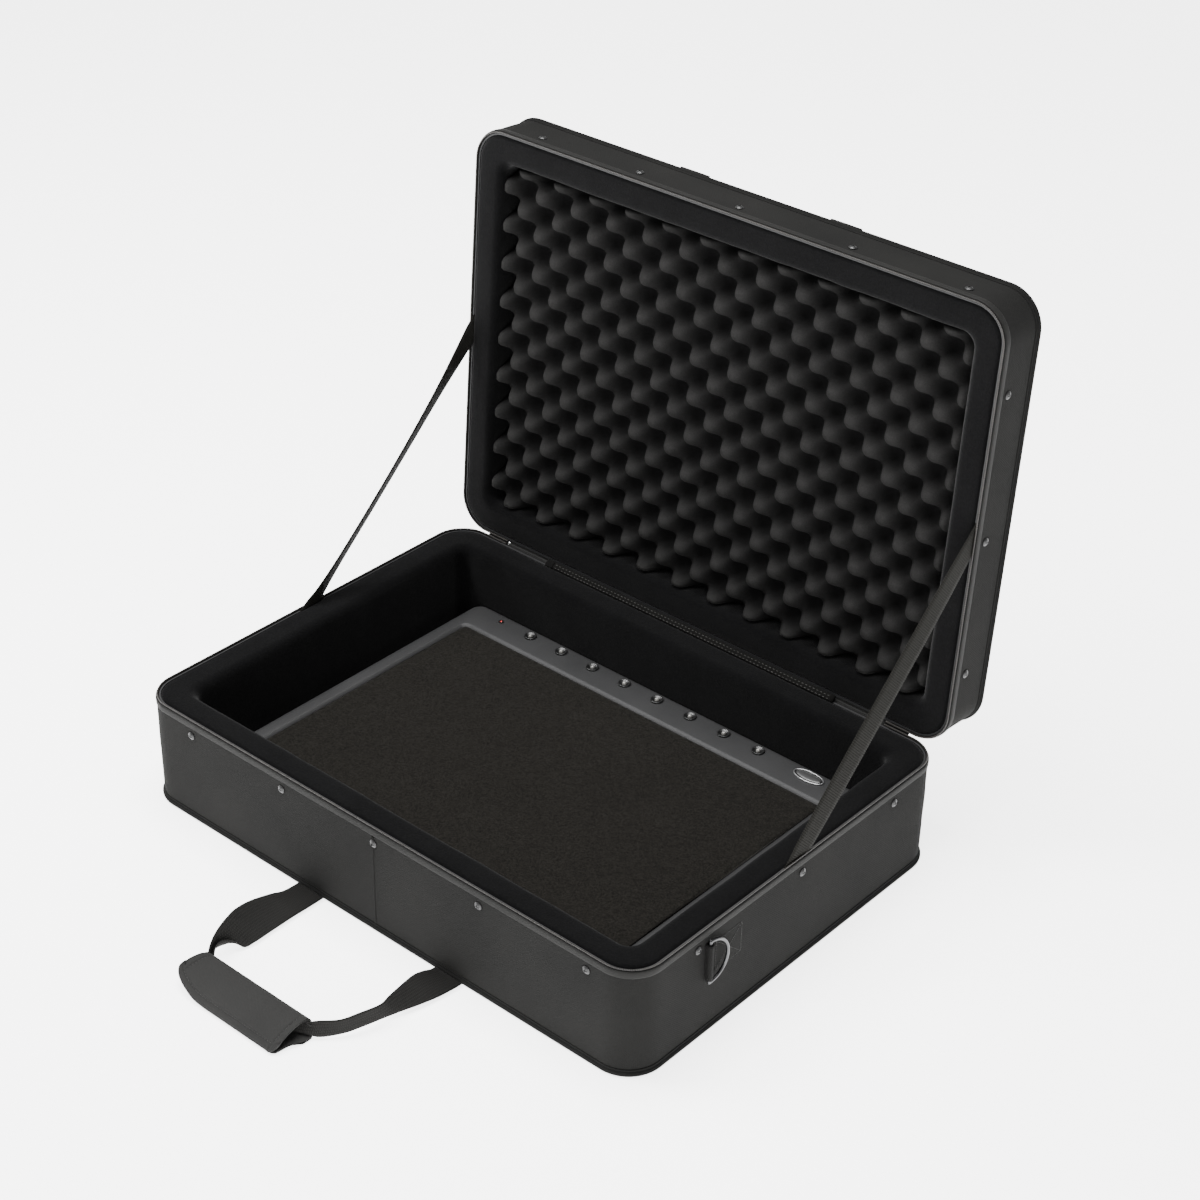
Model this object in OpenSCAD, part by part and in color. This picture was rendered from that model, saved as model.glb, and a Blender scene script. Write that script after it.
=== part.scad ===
// Soft-sided carrying case with a zipped lid, standing open, holding a carpeted pedal board.
// Lengths are in millimetres. X runs left to right, Y front to back, Z up.
// The origin is the centre of the underside of the base tray.

/* [Case] */
// Outside width of both trays, over the woven skin
case_w = 700; // [640:5:740]
// Outside depth of both trays, over the woven skin
case_d = 495; // [460:5:540]
// Outside height of the base tray
base_h = 130; // [116:1:170]
// Outside height of the lid tray
lid_h = 62; // [56:1:80]
// Radius of the upright corners, over the skin
corner_r = 39; // [30:1:60]
// Gap between the two rims that the closed zipper fills
rim_gap = 5.4; // [5:0.1:7]
// Angle through which the lid has been opened
lid_open = 93.8; // [85:0.2:100]

/* [Walls] */
// Thickness of the woven outer skin
skin_t = 1.5; // [1:0.1:2.5]
// Thickness of the stiff sheet behind the skin
sheet_t = 3; // [2.5:0.1:4]
// Thickness of the foam wall liner
liner_t = 33.3; // [26:0.1:36]
// Radius of the cavity's corners, inside the liner
liner_corner_r = 15; // [8:1:25]
// How far the liner's soft edge rises above the rim
liner_crown = 1.1; // [0.4:0.1:1.6]
// Thickness of the foam pad on the tray floor
floor_pad_t = 12; // [6:1:20]

/* [Edges] */
// Height of the piping sewn round the closed end of each tray
piping_h = 8; // [5:0.5:12]
// How far that piping stands proud of the skin
piping_proud = 2.2; // [1:0.1:3]
// Height of the binding sewn round each rim
binding_h = 8; // [5:0.5:12]
// How far the rim binding stands proud of the skin
binding_proud = 0.8; // [0.5:0.1:1.5]
// Width of the zipper tape that lies on each rim
tape_w = 2.6; // [2:0.1:2.6]
// Thickness of the zipper tape
tape_t = 0.8; // [0.5:0.1:1]

/* [Hinge] */
// Distance from each side of the case to the end of the fabric web that joins the two rims
web_inset = 77; // [65:1:150]
// Thickness of that web
web_t = 1; // [0.6:0.1:1.4]
// How far the web runs down the base and along the lid
web_leg = 13; // [10:0.5:13]
// Distance from each side of the case to the stitched strip that faces the web on the inside
facing_inset = 141.5; // [130:0.5:200]
// Size of that strip's rounded section
facing_size = 6.5; // [5:0.5:8]

/* [Lid stays] */
// Width of the webbing that stops the lid
stay_w = 25; // [20:1:30]
// Thickness of that webbing
stay_t = 1.4; // [1:0.1:1.8]
// Length of the sewn end inside each wall
stay_tail = 36; // [20:1:40]
// How far the left stay's upper edge leans in between its ends
left_stay_twist = 27; // [0:1:40]
// How far the right stay's upper edge leans in between its ends
right_stay_twist = 11; // [0:1:40]

/* [Carrying handles] */
// Width of the handle webbing
webbing_w = 38; // [30:1:44]
// Thickness of the handle webbing
webbing_t = 1.8; // [1.4:0.1:2]
// Distance between the two arms where they leave the seam
handle_span = 200; // [180:2:230]
// How far the handles are set to the right of the middle
handle_shift = 10; // [0:1:20]
// Reach of a handle, from the seam to the middle of the grip
handle_reach = 170; // [150:1:190]
// Length of the padded grip
grip_l = 146; // [120:1:156]
// Width of the sewn front edge of the grip
grip_edge = 5.3; // [4:0.1:10]
// Height of the folded grip at its spine
grip_h = 19; // [18:1:26]
// How far the grip has slid to the left of the middle of its handle
grip_slide = 17; // [8:1:24]
// Thickness of the grip's padded sides
grip_t = 4; // [3:0.1:4.6]
// Length of webbing sewn inside the seam at each arm
anchor_l = 60; // [30:1:90]

/* [Strap rings] */
// Thickness of the ring wire
ring_wire = 3.6; // [3:0.1:5]
// Height of the ring along its bar, between wire centres
ring_h = 51; // [44:1:56]
// Distance of the ring bar behind the front of the case
ring_inset = 106; // [103:0.5:120]
// Height of the ring's middle above the floor
ring_z = 91.5; // [70:0.5:92]
// Width of the webbing tab that holds the ring bar
ring_tab_w = 43; // [34:1:46]
// Clearance between a ring bar and its tab
ring_play = 0.3; // [0.2:0.05:0.5]

/* [Fasteners] */
// Diameter of the dome heads of the wall screws
screw_head_d = 9; // [7:0.5:11]
// Height of those heads
screw_head_h = 2.4; // [1.8:0.1:3]
// Diameter of the wall screws
screw_d = 4; // [3:0.5:5]
// Distance of the wall screws from the rim
screw_drop = 18; // [15:0.5:22]
// Distance from the case's sides to the end screws of the five along front and back
long_row_end = 70; // [60:1:90]
// Distance from the case's front and back to the end screws of the three along each side
short_row_end = 89; // [86:0.5:92]
// How far the front and back rows are set to the right of the middle
long_row_shift = 10; // [0:1:12]
// How far the side rows are set behind the middle
short_row_shift = 3.5; // [0:0.5:6]

/* [Zipper sliders] */
// Length of a slider body along the rim
slider_l = 12; // [9:1:15]
// Depth of a slider body out from the wall
slider_t = 5; // [4:0.5:6]
// Length of a pull tab
pull_l = 30; // [20:1:34]
// Width of a pull tab
pull_w = 7; // [5:1:9]
// Thickness of a pull tab
pull_t = 1.6; // [1.2:0.1:2]

/* [Lid foam] */
// Depth of the lid foam panel, from its back to its peaks
egg_t = 54; // [40:1:55]
// Depth of its valleys
egg_relief = 26; // [16:1:30]
// Number of peaks in a row along the width
egg_cols = 12; // [8:1:14]
// Number of peaks in a column along the depth
egg_rows = 9; // [6:1:10]
// Least gap between the panel's square corners and the frame's round ones
egg_gap = 0.6; // [0.4:0.1:3]

/* [Pedal board] */
// Gap between each end of the board and the liner
board_side_gap = 29; // [12:1:40]
// Gap between the front of the board and the liner
board_front_gap = 10; // [2:0.5:20]
// Height of the deck above the board's underside
board_h = 44; // [36:1:56]
// Gap between the back of the board and the liner
board_back_gap = 2; // [1:0.5:4]
// Radius of the board's corners
board_r = 16; // [8:1:24]
// Wall thickness of the moulded board
board_wall = 3.5; // [2.5:0.1:5]
// Width of the raised border at the front and sides
border_w = 22; // [18:1:30]
// Width of the raised border at the back, which holds the jacks
jack_border_w = 47; // [44:1:56]
// Width of the bevel round the border's outer edge
bevel = 5; // [2:0.5:8]
// Depth of the carpet pocket below the border
carpet_drop = 3; // [2:0.5:4]
// Thickness of the carpet
carpet_t = 2.6; // [1.5:0.1:3]
// Number of power jacks in the row
jack_count = 8; // [4:1:9]
// Spacing of the jacks
jack_pitch = 48.2; // [40:0.2:48.6]
// Distance of the jack row from the board's back edge
jack_inset = 16; // [14:0.5:18]
// Offset of the jack row's middle to the left of the board's middle
jack_shift = 17; // [10:1:18]
// Radius of the threaded jack barrel
jack_r = 5.5; // [4:0.1:6]
// Width of the name plate across the board
plate_w = 40; // [24:1:42]
// Depth of the name plate
plate_d = 21; // [12:1:22]
// Height of the rubber feet
foot_h = 4; // [2:0.5:8]
// Diameter of the rubber feet
foot_d = 20; // [12:1:26]

/* [Clearances] */
// Gap between layers of one wall that lie against each other
layer_gap = 0.2; // [0.1:0.05:0.4]
// Gap between parts that move past each other
move_gap = 0.5; // [0.4:0.1:0.8]

/* [Hidden] */
$fn = 48;
hinge_y = case_d / 2;
hinge_z = base_h + rim_gap / 2;
closed_h = base_h + rim_gap + lid_h;
wall_in = skin_t + sheet_t + layer_gap;         // inset of the liner's outer face
cavity_in = wall_in + liner_t;                  // inset of the cavity
floor_top = skin_t + sheet_t + 2 * layer_gap;   // top of the stiff floor board
pad_top = floor_top + layer_gap + floor_pad_t;
coil_r = (rim_gap / 2 - layer_gap - tape_t + 0.25) / 2;
anchor_z = skin_t + layer_gap;
anchor_slot = webbing_t + 2 * layer_gap;
grip_w = grip_h / 2 + webbing_w + grip_edge;
lid_fold = 0.4;                                 // how far the lid's webbing stands above the lid
anchor_end_y = -case_d / 2 - piping_proud - layer_gap;   // where the sewn webbing ends, outside the seam
arm_lap = 0.3;                                  // how far an arm reaches past its bending line
handle_axis_y = anchor_end_y - norm([webbing_t / 2, arm_lap]) - 0.05;
handle_axis_z = anchor_z + webbing_t / 2;
board_z = pad_top + layer_gap + foot_h;
board_w = case_w - 2 * (cavity_in + board_side_gap);
board_d = case_d - 2 * cavity_in - board_front_gap - board_back_gap;
board_y = case_d / 2 - cavity_in - board_back_gap - board_d / 2;
deck_z = board_z + board_h;
carpet_w = board_w - 2 * border_w;
carpet_d = board_d - border_w - jack_border_w;
carpet_y = board_y - board_d / 2 + border_w + carpet_d / 2;
carpet_r = 7;
jack_y = board_y + board_d / 2 - jack_inset;
jack_x = [for (i = [0 : jack_count - 1]) (i - (jack_count - 1) / 2) * jack_pitch - jack_shift];
led_x = jack_x[0] - jack_pitch * 0.97;
plate_x = board_w / 2 - border_w - plate_w / 2 - 13;
feet_x = board_w / 2 - 40;
feet_y = board_d / 2 - 40;
jack_depth = 14.4;                              // how far a jack reaches below the deck
circuit_t = 1.6;
circuit_d = 18;
circuit_z = deck_z - jack_depth - layer_gap - circuit_t;
pin_l = jack_depth + layer_gap + circuit_t + 1.4;   // from below the circuit board to the jack's mouth
rib_at = [-0.28, -0.1, 0.1, 0.28];              // places of the deck's ribs, as shares of its width
ring_y = case_d / 2 - ring_inset;
ring_bar_x = case_w / 2 + ring_wire / 2 + ring_play + 1.9;
web_w = case_w - 2 * web_inset;
facing_w = case_w - 2 * facing_inset;
slider_x = web_w / 2 + slider_l / 2 + 2;
slider_y = case_d / 2 + binding_proud + layer_gap;
slider_z = base_h - 3.2;
stay_x = case_w / 2 - skin_t - sheet_t + 0.9;
stay_lean = (180 - lid_open) / 2;               // angle between a stay and either rim
stay_span = 2 * norm([hinge_y, rim_gap / 2]) * sin((lid_open + 2 * atan(rim_gap / case_d)) / 2);
long_row = [for (i = [-2 : 2]) i * (case_w / 4 - long_row_end / 2) + (i == 0 ? 0.5 : 1) * long_row_shift];
short_row = [for (i = [-1 : 1]) i * (case_d / 2 - short_row_end) + (i == 0 ? 2 : 1) * short_row_shift];

// ---------- outlines and sweeps ----------

// Rounded rectangle about the origin
module rounded(w, d, r) {
    square([w - 2 * r, d], center = true);
    square([w, d - 2 * r], center = true);
    for (x = [-1, 1], y = [-1, 1]) translate([x * (w / 2 - r), y * (d / 2 - r)]) circle(r);
}

// Outline of the case, moved inward by inset
module outline(inset) {
    rounded(case_w - 2 * inset, case_d - 2 * inset, corner_r - inset);
}

// Sweeps a 2D profile round a rounded rectangle: its x is the distance outside it, its y the height
module sweep_round(w, d, r) {
    for (k = [0 : 3]) {
        out = (k % 2 == 0 ? w : d) / 2;
        side = (k % 2 == 0 ? d : w) / 2;
        rotate(90 * k) {
            translate([out, side - r, 0]) rotate([90, 0, 0]) linear_extrude(2 * (side - r)) children();
            translate([out - r, side - r, 0]) rotate_extrude(angle = 90, $fn = 64)
                translate([r, 0]) children();
        }
    }
}

// Lowers the lid tray, drawn open side up like the base, onto the base
module closed_lid() {
    translate([0, 0, closed_h]) mirror([0, 0, 1]) children();
}

// Opens the closed lid about the hinge line
module opened() {
    translate([0, hinge_y, hinge_z]) rotate([-lid_open, 0, 0]) translate([0, -hinge_y, -hinge_z]) children();
}

module lid_place() {
    opened() closed_lid() children();
}

// ---------- parts that both trays have, drawn for a tray of height h that opens upward ----------

// The two slits low in the front wall that let the handle webbing out
module handle_slits() {
    for (s = [-1, 1]) translate([handle_shift + s * handle_span / 2, -case_d / 2, anchor_z + webbing_t / 2])
        cube([webbing_w + 1, 2 * (skin_t + sheet_t + piping_proud + 3), anchor_slot], center = true);
}

// Puts children at every wall screw, with +Z pointing out of the wall
module at_wall_screws(h) {
    for (x = long_row, s = [-1, 1])
        translate([x, s * case_d / 2, h - screw_drop]) rotate([-90 * s, 0, 0]) children();
    for (y = short_row, s = [-1, 1])
        translate([s * case_w / 2, y, h - screw_drop]) rotate([0, 90 * s, 0]) children();
}

module tray_skin(h) {
    difference() {
        linear_extrude(h) outline(0);
        translate([0, 0, skin_t]) linear_extrude(h) outline(skin_t);
        at_wall_screws(h) cylinder(d = screw_d + 0.3, h = 20, center = true, $fn = 24);
        handle_slits();
    }
}

module tray_piping() {
    difference() {
        sweep_round(case_w, case_d, corner_r) polygon([[0, 0], [piping_proud * 0.6, 0],
            [piping_proud, piping_proud * 0.5], [piping_proud, piping_h - 1], [piping_proud * 0.6, piping_h],
            [0, piping_h]]);
        handle_slits();
    }
}

module tray_binding(h) {
    sweep_round(case_w, case_d, corner_r)
        polygon([[0, h - binding_h], [binding_proud * 0.7, h - binding_h],
            [binding_proud, h - binding_h + 0.5], [binding_proud, h - 0.4],
            [binding_proud * 0.6, h], [0, h]]);
}

// Tape flat on the rim, with a round coil on it; it stops at each end of the hinge web
module tray_zipper(h) {
    difference() {
        sweep_round(case_w, case_d, corner_r) union() {
            translate([-tape_w - 0.1, h]) square([tape_w, tape_t]);
            translate([-coil_r - 0.2, h + tape_t + coil_r - 0.25]) circle(coil_r, $fn = 24);
        }
        translate([-web_w / 2 - 2, 0, h - 1]) cube([web_w + 4, case_d, 10]);
    }
}

// Stiff sheet behind the skin, with pockets for the sewn ends of the stays
module tray_sheet(h) {
    difference() {
        translate([0, 0, floor_top + layer_gap]) linear_extrude(h - floor_top - 2 * layer_gap)
            difference() { outline(skin_t + layer_gap); outline(skin_t + sheet_t); }
        for (s = [-1, 1]) translate([s * stay_x, 0, h]) rotate([stay_lean, 0, 0])
            translate([-3, -stay_tail - 1, -stay_w / 2 - 0.5]) cube([6, stay_tail + 30, stay_w + 1]);
        at_wall_screws(h) cylinder(d = screw_d + 0.1, h = 20, center = true, $fn = 24);
    }
}

module tray_panel() {
    translate([0, 0, skin_t + layer_gap]) difference() {
        linear_extrude(sheet_t) outline(skin_t + layer_gap);
        for (s = [-1, 1]) translate([handle_shift + s * handle_span / 2 - webbing_w / 2 - 0.5,
            -case_d / 2, -1]) cube([webbing_w + 1, anchor_l + 1, anchor_slot - layer_gap + 1]);
    }
}

// Closed loop of outline points at one inset and height, with the corner radius given
function loop(inset, z, r, n) = let (w = case_w / 2 - inset - r, d = case_d / 2 - inset - r)
    [for (k = [0 : 3], i = [0 : n]) let (a = 90 * k + 90 * i / n,
        sx = (k == 0 || k == 3) ? 1 : -1, sy = k < 2 ? 1 : -1)
        [sx * w + r * cos(a), sy * d + r * sin(a), z]];

// Ring-shaped solid through loops that follow a closed section; all loops have the same count
module loft_ring(loops) {
    m = len(loops);
    n = len(loops[0]);
    polyhedron(points = [for (l = loops, p = l) p], faces = [for (i = [0 : m - 1], j = [0 : n - 1])
        let (a = i * n + j, b = i * n + (j + 1) % n, c = ((i + 1) % m) * n + (j + 1) % n,
            d = ((i + 1) % m) * n + j) each [[a, c, b], [a, d, c]]]);
}

// Foam wall: flat foot, upright faces and a soft rounded top edge
module foam_wall(h, foot) {
    out_round = 4;
    in_round = 9;
    top = h + liner_crown;
    inner_r = liner_corner_r;
    outer_r = corner_r - wall_in;
    section = concat(
        [[wall_in, foot], [wall_in, top - out_round]],
        [for (a = [30, 60]) [wall_in + out_round * (1 - cos(a)), top - out_round * (1 - sin(a))]],
        [[wall_in + out_round, top], [cavity_in - in_round, top]],
        [for (a = [60, 30]) [cavity_in - in_round * (1 - cos(a)), top - in_round * (1 - sin(a))]],
        [[cavity_in, top - in_round], [cavity_in, foot]]);
    loft_ring([for (s = section) let (t = (s[0] - wall_in) / liner_t)
        loop(s[0], s[1], outer_r + (inner_r - outer_r) * t, 6)]);
}

// Dome-headed wall screw along +Z, with its head seated at z = 0
module wall_screw() {
    dome_r = (pow(screw_head_d / 2, 2) + pow(screw_head_h - 0.6, 2)) / (2 * (screw_head_h - 0.6));
    difference() {
        union() {
            cylinder(d = screw_head_d, h = 0.6);
            translate([0, 0, 0.6]) intersection() {
                cylinder(d = screw_head_d, h = screw_head_h);
                translate([0, 0, screw_head_h - 0.6 - dome_r]) sphere(dome_r, $fn = 64);
            }
            translate([0, 0, -skin_t - sheet_t + 0.1]) cylinder(d = screw_d, h = skin_t + sheet_t, $fn = 24);
        }
        for (a = [0, 90]) rotate(a) translate([-2.4, -0.45, screw_head_h - 1.1]) cube([4.8, 0.9, 3]);
    }
}

// ---------- ribbons ----------

// Point on a smooth curve through the points p, at u from 0 to len(p) - 1
function curve(p, u) = let (n = len(p) - 1, i = min(floor(u), n - 1), t = u - i,
    a = p[max(i - 1, 0)], b = p[i], c = p[i + 1], d = p[min(i + 2, n)])
    0.5 * (2 * b + (c - a) * t + (2 * a - 5 * b + 4 * c - d) * t * t + (3 * b - a - 3 * c + d) * t * t * t);

// Flat band of width w and thickness t: p lists points, and roll tells how far the band leans at each
module ribbon(p, roll, w, t, steps) {
    n = (len(p) - 1) * steps;
    rings = [for (i = [0 : n]) let (
        u = i / steps,
        here = curve(p, u),
        ahead = curve(p, min(u + 0.05, len(p) - 1)) - curve(p, max(u - 0.05, 0)),
        along = ahead / norm(ahead),
        flat = cross(along, [0, 0, 1]),
        side0 = flat / norm(flat),
        up0 = cross(side0, along),
        k = min(floor(u), len(p) - 2),
        r = roll[k] + (roll[k + 1] - roll[k]) * (u - k),
        side = side0 * cos(r) + up0 * sin(r),
        up = up0 * cos(r) - side0 * sin(r))
        each [for (c = [[-1, -1], [1, -1], [1, 1], [-1, 1]]) here + side * c[0] * w / 2 + up * c[1] * t / 2]];
    sides = [for (i = [0 : n - 1], j = [0 : 3]) let (a = 4 * i + j, b = 4 * i + (j + 1) % 4)
        each [[a, b, b + 4], [a, b + 4, a + 4]]];
    ends = [[0, 3, 2], [0, 2, 1], [4 * n, 4 * n + 1, 4 * n + 2], [4 * n, 4 * n + 2, 4 * n + 3]];
    polyhedron(points = rings, faces = concat(sides, ends));
}

// ---------- base tray ----------

module base_skin() { color([0.2, 0.2, 0.2]) tray_skin(base_h); }
module base_piping() { color([0.17, 0.17, 0.17]) tray_piping(); }
module base_rim_binding() { color([0.22, 0.22, 0.22]) tray_binding(base_h); }
module base_zipper() { color([0.25, 0.24, 0.23]) tray_zipper(base_h); }
module base_wall_sheet() { color([0.1, 0.1, 0.11]) tray_sheet(base_h); }
module base_floor_board() { color([0.1, 0.1, 0.11]) tray_panel(); }
module base_foam_liner() { color([0.12, 0.12, 0.13]) foam_wall(base_h, floor_top + layer_gap); }

module base_floor_pad() {
    color([0.1, 0.1, 0.11]) translate([0, 0, floor_top + layer_gap])
        linear_extrude(floor_pad_t) rounded(case_w - 2 * cavity_in - 2 * layer_gap,
            case_d - 2 * cavity_in - 2 * layer_gap, liner_corner_r);
}

module base_screws() { color([0.35, 0.35, 0.36]) at_wall_screws(base_h) wall_screw(); }

// Sewn-in ends of the handle webbing, between the skin and the stiff panel
module handle_anchors() {
    for (s = [-1, 1]) translate([handle_shift + s * handle_span / 2 - webbing_w / 2, anchor_end_y, anchor_z])
        cube([webbing_w, anchor_l, webbing_t]);
}

module handle_anchors_base() { color([0.19, 0.19, 0.19]) handle_anchors(); }

// ---------- hinge and stays ----------

// Fabric web over the outside of the corner between the standing lid and the base
module hinge_web() {
    y0 = hinge_y + binding_proud + layer_gap;
    lean = lid_open - 90;
    lid_y = hinge_y + rim_gap / 2;
    lid_z = hinge_z - (binding_proud + layer_gap);
    drop = (web_leg + 1) * tan(lean);
    color([0.33, 0.33, 0.33]) rotate([90, 0, 90]) translate([0, 0, -web_w / 2]) linear_extrude(web_w)
        polygon([[y0, base_h - web_leg], [y0 + web_t, base_h - web_leg], [y0 + web_t, lid_z - web_t - 0.4],
            [lid_y + web_leg, lid_z - web_t - drop], [lid_y + web_leg, lid_z - drop],
            [lid_y + 0.6, lid_z - 0.25], [y0, lid_z - 0.25]]);
}

// Stitched strip in the inside corner, between the two foam edges
module hinge_facing() {
    lean = lid_open - 90;
    y0 = hinge_y + binding_proud;
    color([0.16, 0.16, 0.16]) translate([-facing_w / 2, y0, base_h + layer_gap]) rotate([90, 0, 90])
        linear_extrude(facing_w) difference() {
            intersection() {
                translate([-0.6, 0.6]) circle(facing_size);
                polygon([[-facing_size, 0], [0, 0], [facing_size * tan(lean), facing_size],
                    [-facing_size, facing_size]]);
            }
            translate([-facing_size, facing_size]) circle(facing_size - 1.4);
        }
}

// Stay from a pocket in the base wall to one in the lid wall; side is 1 at the right, -1 at the left
module stay(side, twist) {
    along = [0, cos(stay_lean), sin(stay_lean)];
    stations = [-stay_tail, 20, 70, stay_span / 2, stay_span - 70, stay_span - 20, stay_span + stay_tail];
    twists = [0, 0, 0.85, 1, 1, 0, 0];
    color([0.4, 0.4, 0.38]) ribbon([for (d = stations) [side * stay_x, 0, base_h] + along * d],
        [for (v = twists) 90 + side * twist * v], stay_w, stay_t, 2);
}

module stay_left() { stay(-1, left_stay_twist); }
module stay_right() { stay(1, right_stay_twist); }

// ---------- strap rings ----------

// Loop of webbing round the ring bar, with its two layers running into the wall
module ring_tab(side) {
    bore = ring_wire / 2 + ring_play;
    color([0.14, 0.14, 0.14]) translate([side * ring_bar_x, -ring_y, ring_z - ring_tab_w / 2])
        linear_extrude(ring_tab_w) difference() {
            union() {
                circle(bore + 1.6);
                translate([side > 0 ? case_w / 2 - ring_bar_x : 0, -1.7])
                    square([ring_bar_x - case_w / 2, 3.4]);
            }
            circle(bore);
        }
}

module ring_tab_left() { ring_tab(-1); }
module ring_tab_right() { ring_tab(1); }

// D-shaped ring: a straight bar and a half circle of the same wire
module d_ring(side) {
    color([0.62, 0.62, 0.62]) translate([side * ring_bar_x, -ring_y, ring_z]) rotate([0, 0, side * -4]) {
        cylinder(d = ring_wire, h = ring_h, center = true, $fn = 24);
        for (s = [-1, 1]) translate([0, 0, s * ring_h / 2]) sphere(d = ring_wire, $fn = 24);
        rotate([0, -90, 0]) rotate_extrude(angle = 180, $fn = 64)
            translate([ring_h / 2, 0]) circle(d = ring_wire, $fn = 24);
    }
}

module ring_left() { d_ring(-1); }
module ring_right() { d_ring(1); }

// ---------- zipper sliders ----------

// Slider parked at the end of the zipper, with the bridge that carries its pull
module slider(side) {
    color([0.12, 0.12, 0.12]) translate([side * slider_x, slider_y, slider_z]) difference() {
        union() {
            translate([-slider_l / 2, 0, -3.5]) cube([slider_l, slider_t - 2, 7]);
            translate([-1.2, slider_t - 2.5, -3.2]) cube([2.4, 4.6, 6]);
        }
        translate([0, slider_t, -0.4]) rotate([0, 90, 0]) cylinder(r = 1, h = 20, center = true, $fn = 24);
    }
}

module slider_left() { slider(-1); }
module slider_right() { slider(1); }

// Pull tab hanging from the slider's bridge: a pin through the bridge, two cheeks and a flat tab
module pull(side) {
    color([0.3, 0.3, 0.3]) translate([side * slider_x, slider_y + slider_t, slider_z - 0.4]) {
        rotate([0, 90, 0]) cylinder(r = 0.95, h = pull_w, center = true, $fn = 24);
        for (s = [-1, 1]) translate([s * (pull_w / 2 - 0.9) - 0.9, -pull_t / 2, -6]) cube([1.8, pull_t, 6]);
        difference() {
            translate([-pull_w / 2, -pull_t / 2, -pull_l]) cube([pull_w, pull_t, pull_l - 5]);
            translate([0, 0, -pull_l + 4.5]) rotate([90, 0, 0])
                cylinder(r = pull_w / 2 - 1.8, h = 10, center = true, $fn = 24);
        }
    }
}

module pull_left() { pull(-1); }
module pull_right() { pull(1); }

// ---------- handles, drawn lying forward from the seam ----------

// Draws a band from stations listed as [x, y, z, roll]; roll above 0 lifts the loop's outer edge
module band(stations, hand) {
    ribbon([for (v = stations) [v[0], v[1], v[2]]], [for (v = stations) hand * v[3]],
        webbing_w, webbing_t, 3);
}

module base_handle_place() {
    translate([handle_shift, handle_axis_y, handle_axis_z]) children();
}

// Two arms from the seam to the grip, and the length of webbing hidden in the grip
module base_handle_webbing() {
    w = handle_span / 2;
    r = handle_reach;
    end_y = -r + grip_w / 2 + 1.3;
    end_x = grip_l / 2 - grip_slide + 11;
    color([0.24, 0.24, 0.24]) base_handle_place() {
        band([[-w, arm_lap, 0, 0], [-w, -r * 0.22, 3, 8], [-w + 2, -r * 0.42, 8, 22],
            [-w + 6, -r * 0.58, 14, 45], [-w + 8, -r * 0.7, 15.5, 50], [-w + 11, -r * 0.78, 13, 32],
            [-w + 14, end_y, grip_h / 2 - handle_axis_z, 8]], 1);
        band([[w, arm_lap, 0, 0], [w, -r * 0.08, 0.4, 1], [w - 3, -r * 0.18, 1.6, 3],
            [w - 5, -r * 0.33, 5, 10], [w - 5, -r * 0.5, 9, 20],
            [w - 7, -r * 0.66, 12, 28], [w - 13, -r * 0.79, 13.5, 34], [w - 23, -r * 0.875, 13, 30],
            [end_x, -r * 0.92, 11, 18]], -1);
        translate([-grip_slide - grip_l / 2, -r - grip_w / 2 + grip_edge, grip_t + 0.15 - handle_axis_z])
            cube([grip_l, webbing_w, webbing_t]);
    }
}

// Section of the folded grip: x runs forward from the spine, y is the height above the floor
module grip_section(inset) {
    r = grip_h / 2;
    front = grip_w - inset * 0.2;
    translate([r, r]) circle(r - inset, $fn = 48);
    polygon([[r, inset], [front, inset], [front, grip_h * 0.55 - inset], [r, grip_h - inset]]);
}

// Padded wrap folded over the webbing, with its edges sewn together at the front
module base_handle_grip() {
    color([0.27, 0.27, 0.27])
        translate([handle_shift - grip_slide - grip_l / 2, handle_axis_y - handle_reach + grip_w / 2, 0])
        rotate([90, 0, 90]) linear_extrude(grip_l) mirror([1, 0]) difference() {
            grip_section(0);
            intersection() {
                grip_section(grip_t);
                square([grip_w - grip_edge + 0.3, grip_h]);
            }
        }
}

// ---------- lid tray ----------

module lid_skin() { color([0.2, 0.2, 0.2]) lid_place() tray_skin(lid_h); }
module lid_piping() { color([0.17, 0.17, 0.17]) lid_place() tray_piping(); }
module lid_rim_binding() { color([0.22, 0.22, 0.22]) lid_place() tray_binding(lid_h); }
module lid_zipper() { color([0.25, 0.24, 0.23]) lid_place() tray_zipper(lid_h); }
module lid_wall_sheet() { color([0.1, 0.1, 0.11]) lid_place() tray_sheet(lid_h); }
module lid_top_board() { color([0.1, 0.1, 0.11]) lid_place() tray_panel(); }
module lid_foam_frame() { color([0.12, 0.12, 0.13]) lid_place() foam_wall(lid_h, floor_top + layer_gap); }
module lid_screws() { color([0.35, 0.35, 0.36]) lid_place() at_wall_screws(lid_h) wall_screw(); }

// On the lid the webbing also folds up over the piping, so that the loop can lie on the lid
module handle_anchors_lid() {
    color([0.19, 0.19, 0.19]) lid_place() {
        handle_anchors();
        for (s = [-1, 1]) translate([handle_shift + s * handle_span / 2 - webbing_w / 2,
            anchor_end_y - webbing_t, -lid_fold])
            cube([webbing_w, webbing_t + layer_gap / 2, anchor_z + webbing_t + lid_fold]);
    }
}

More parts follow.
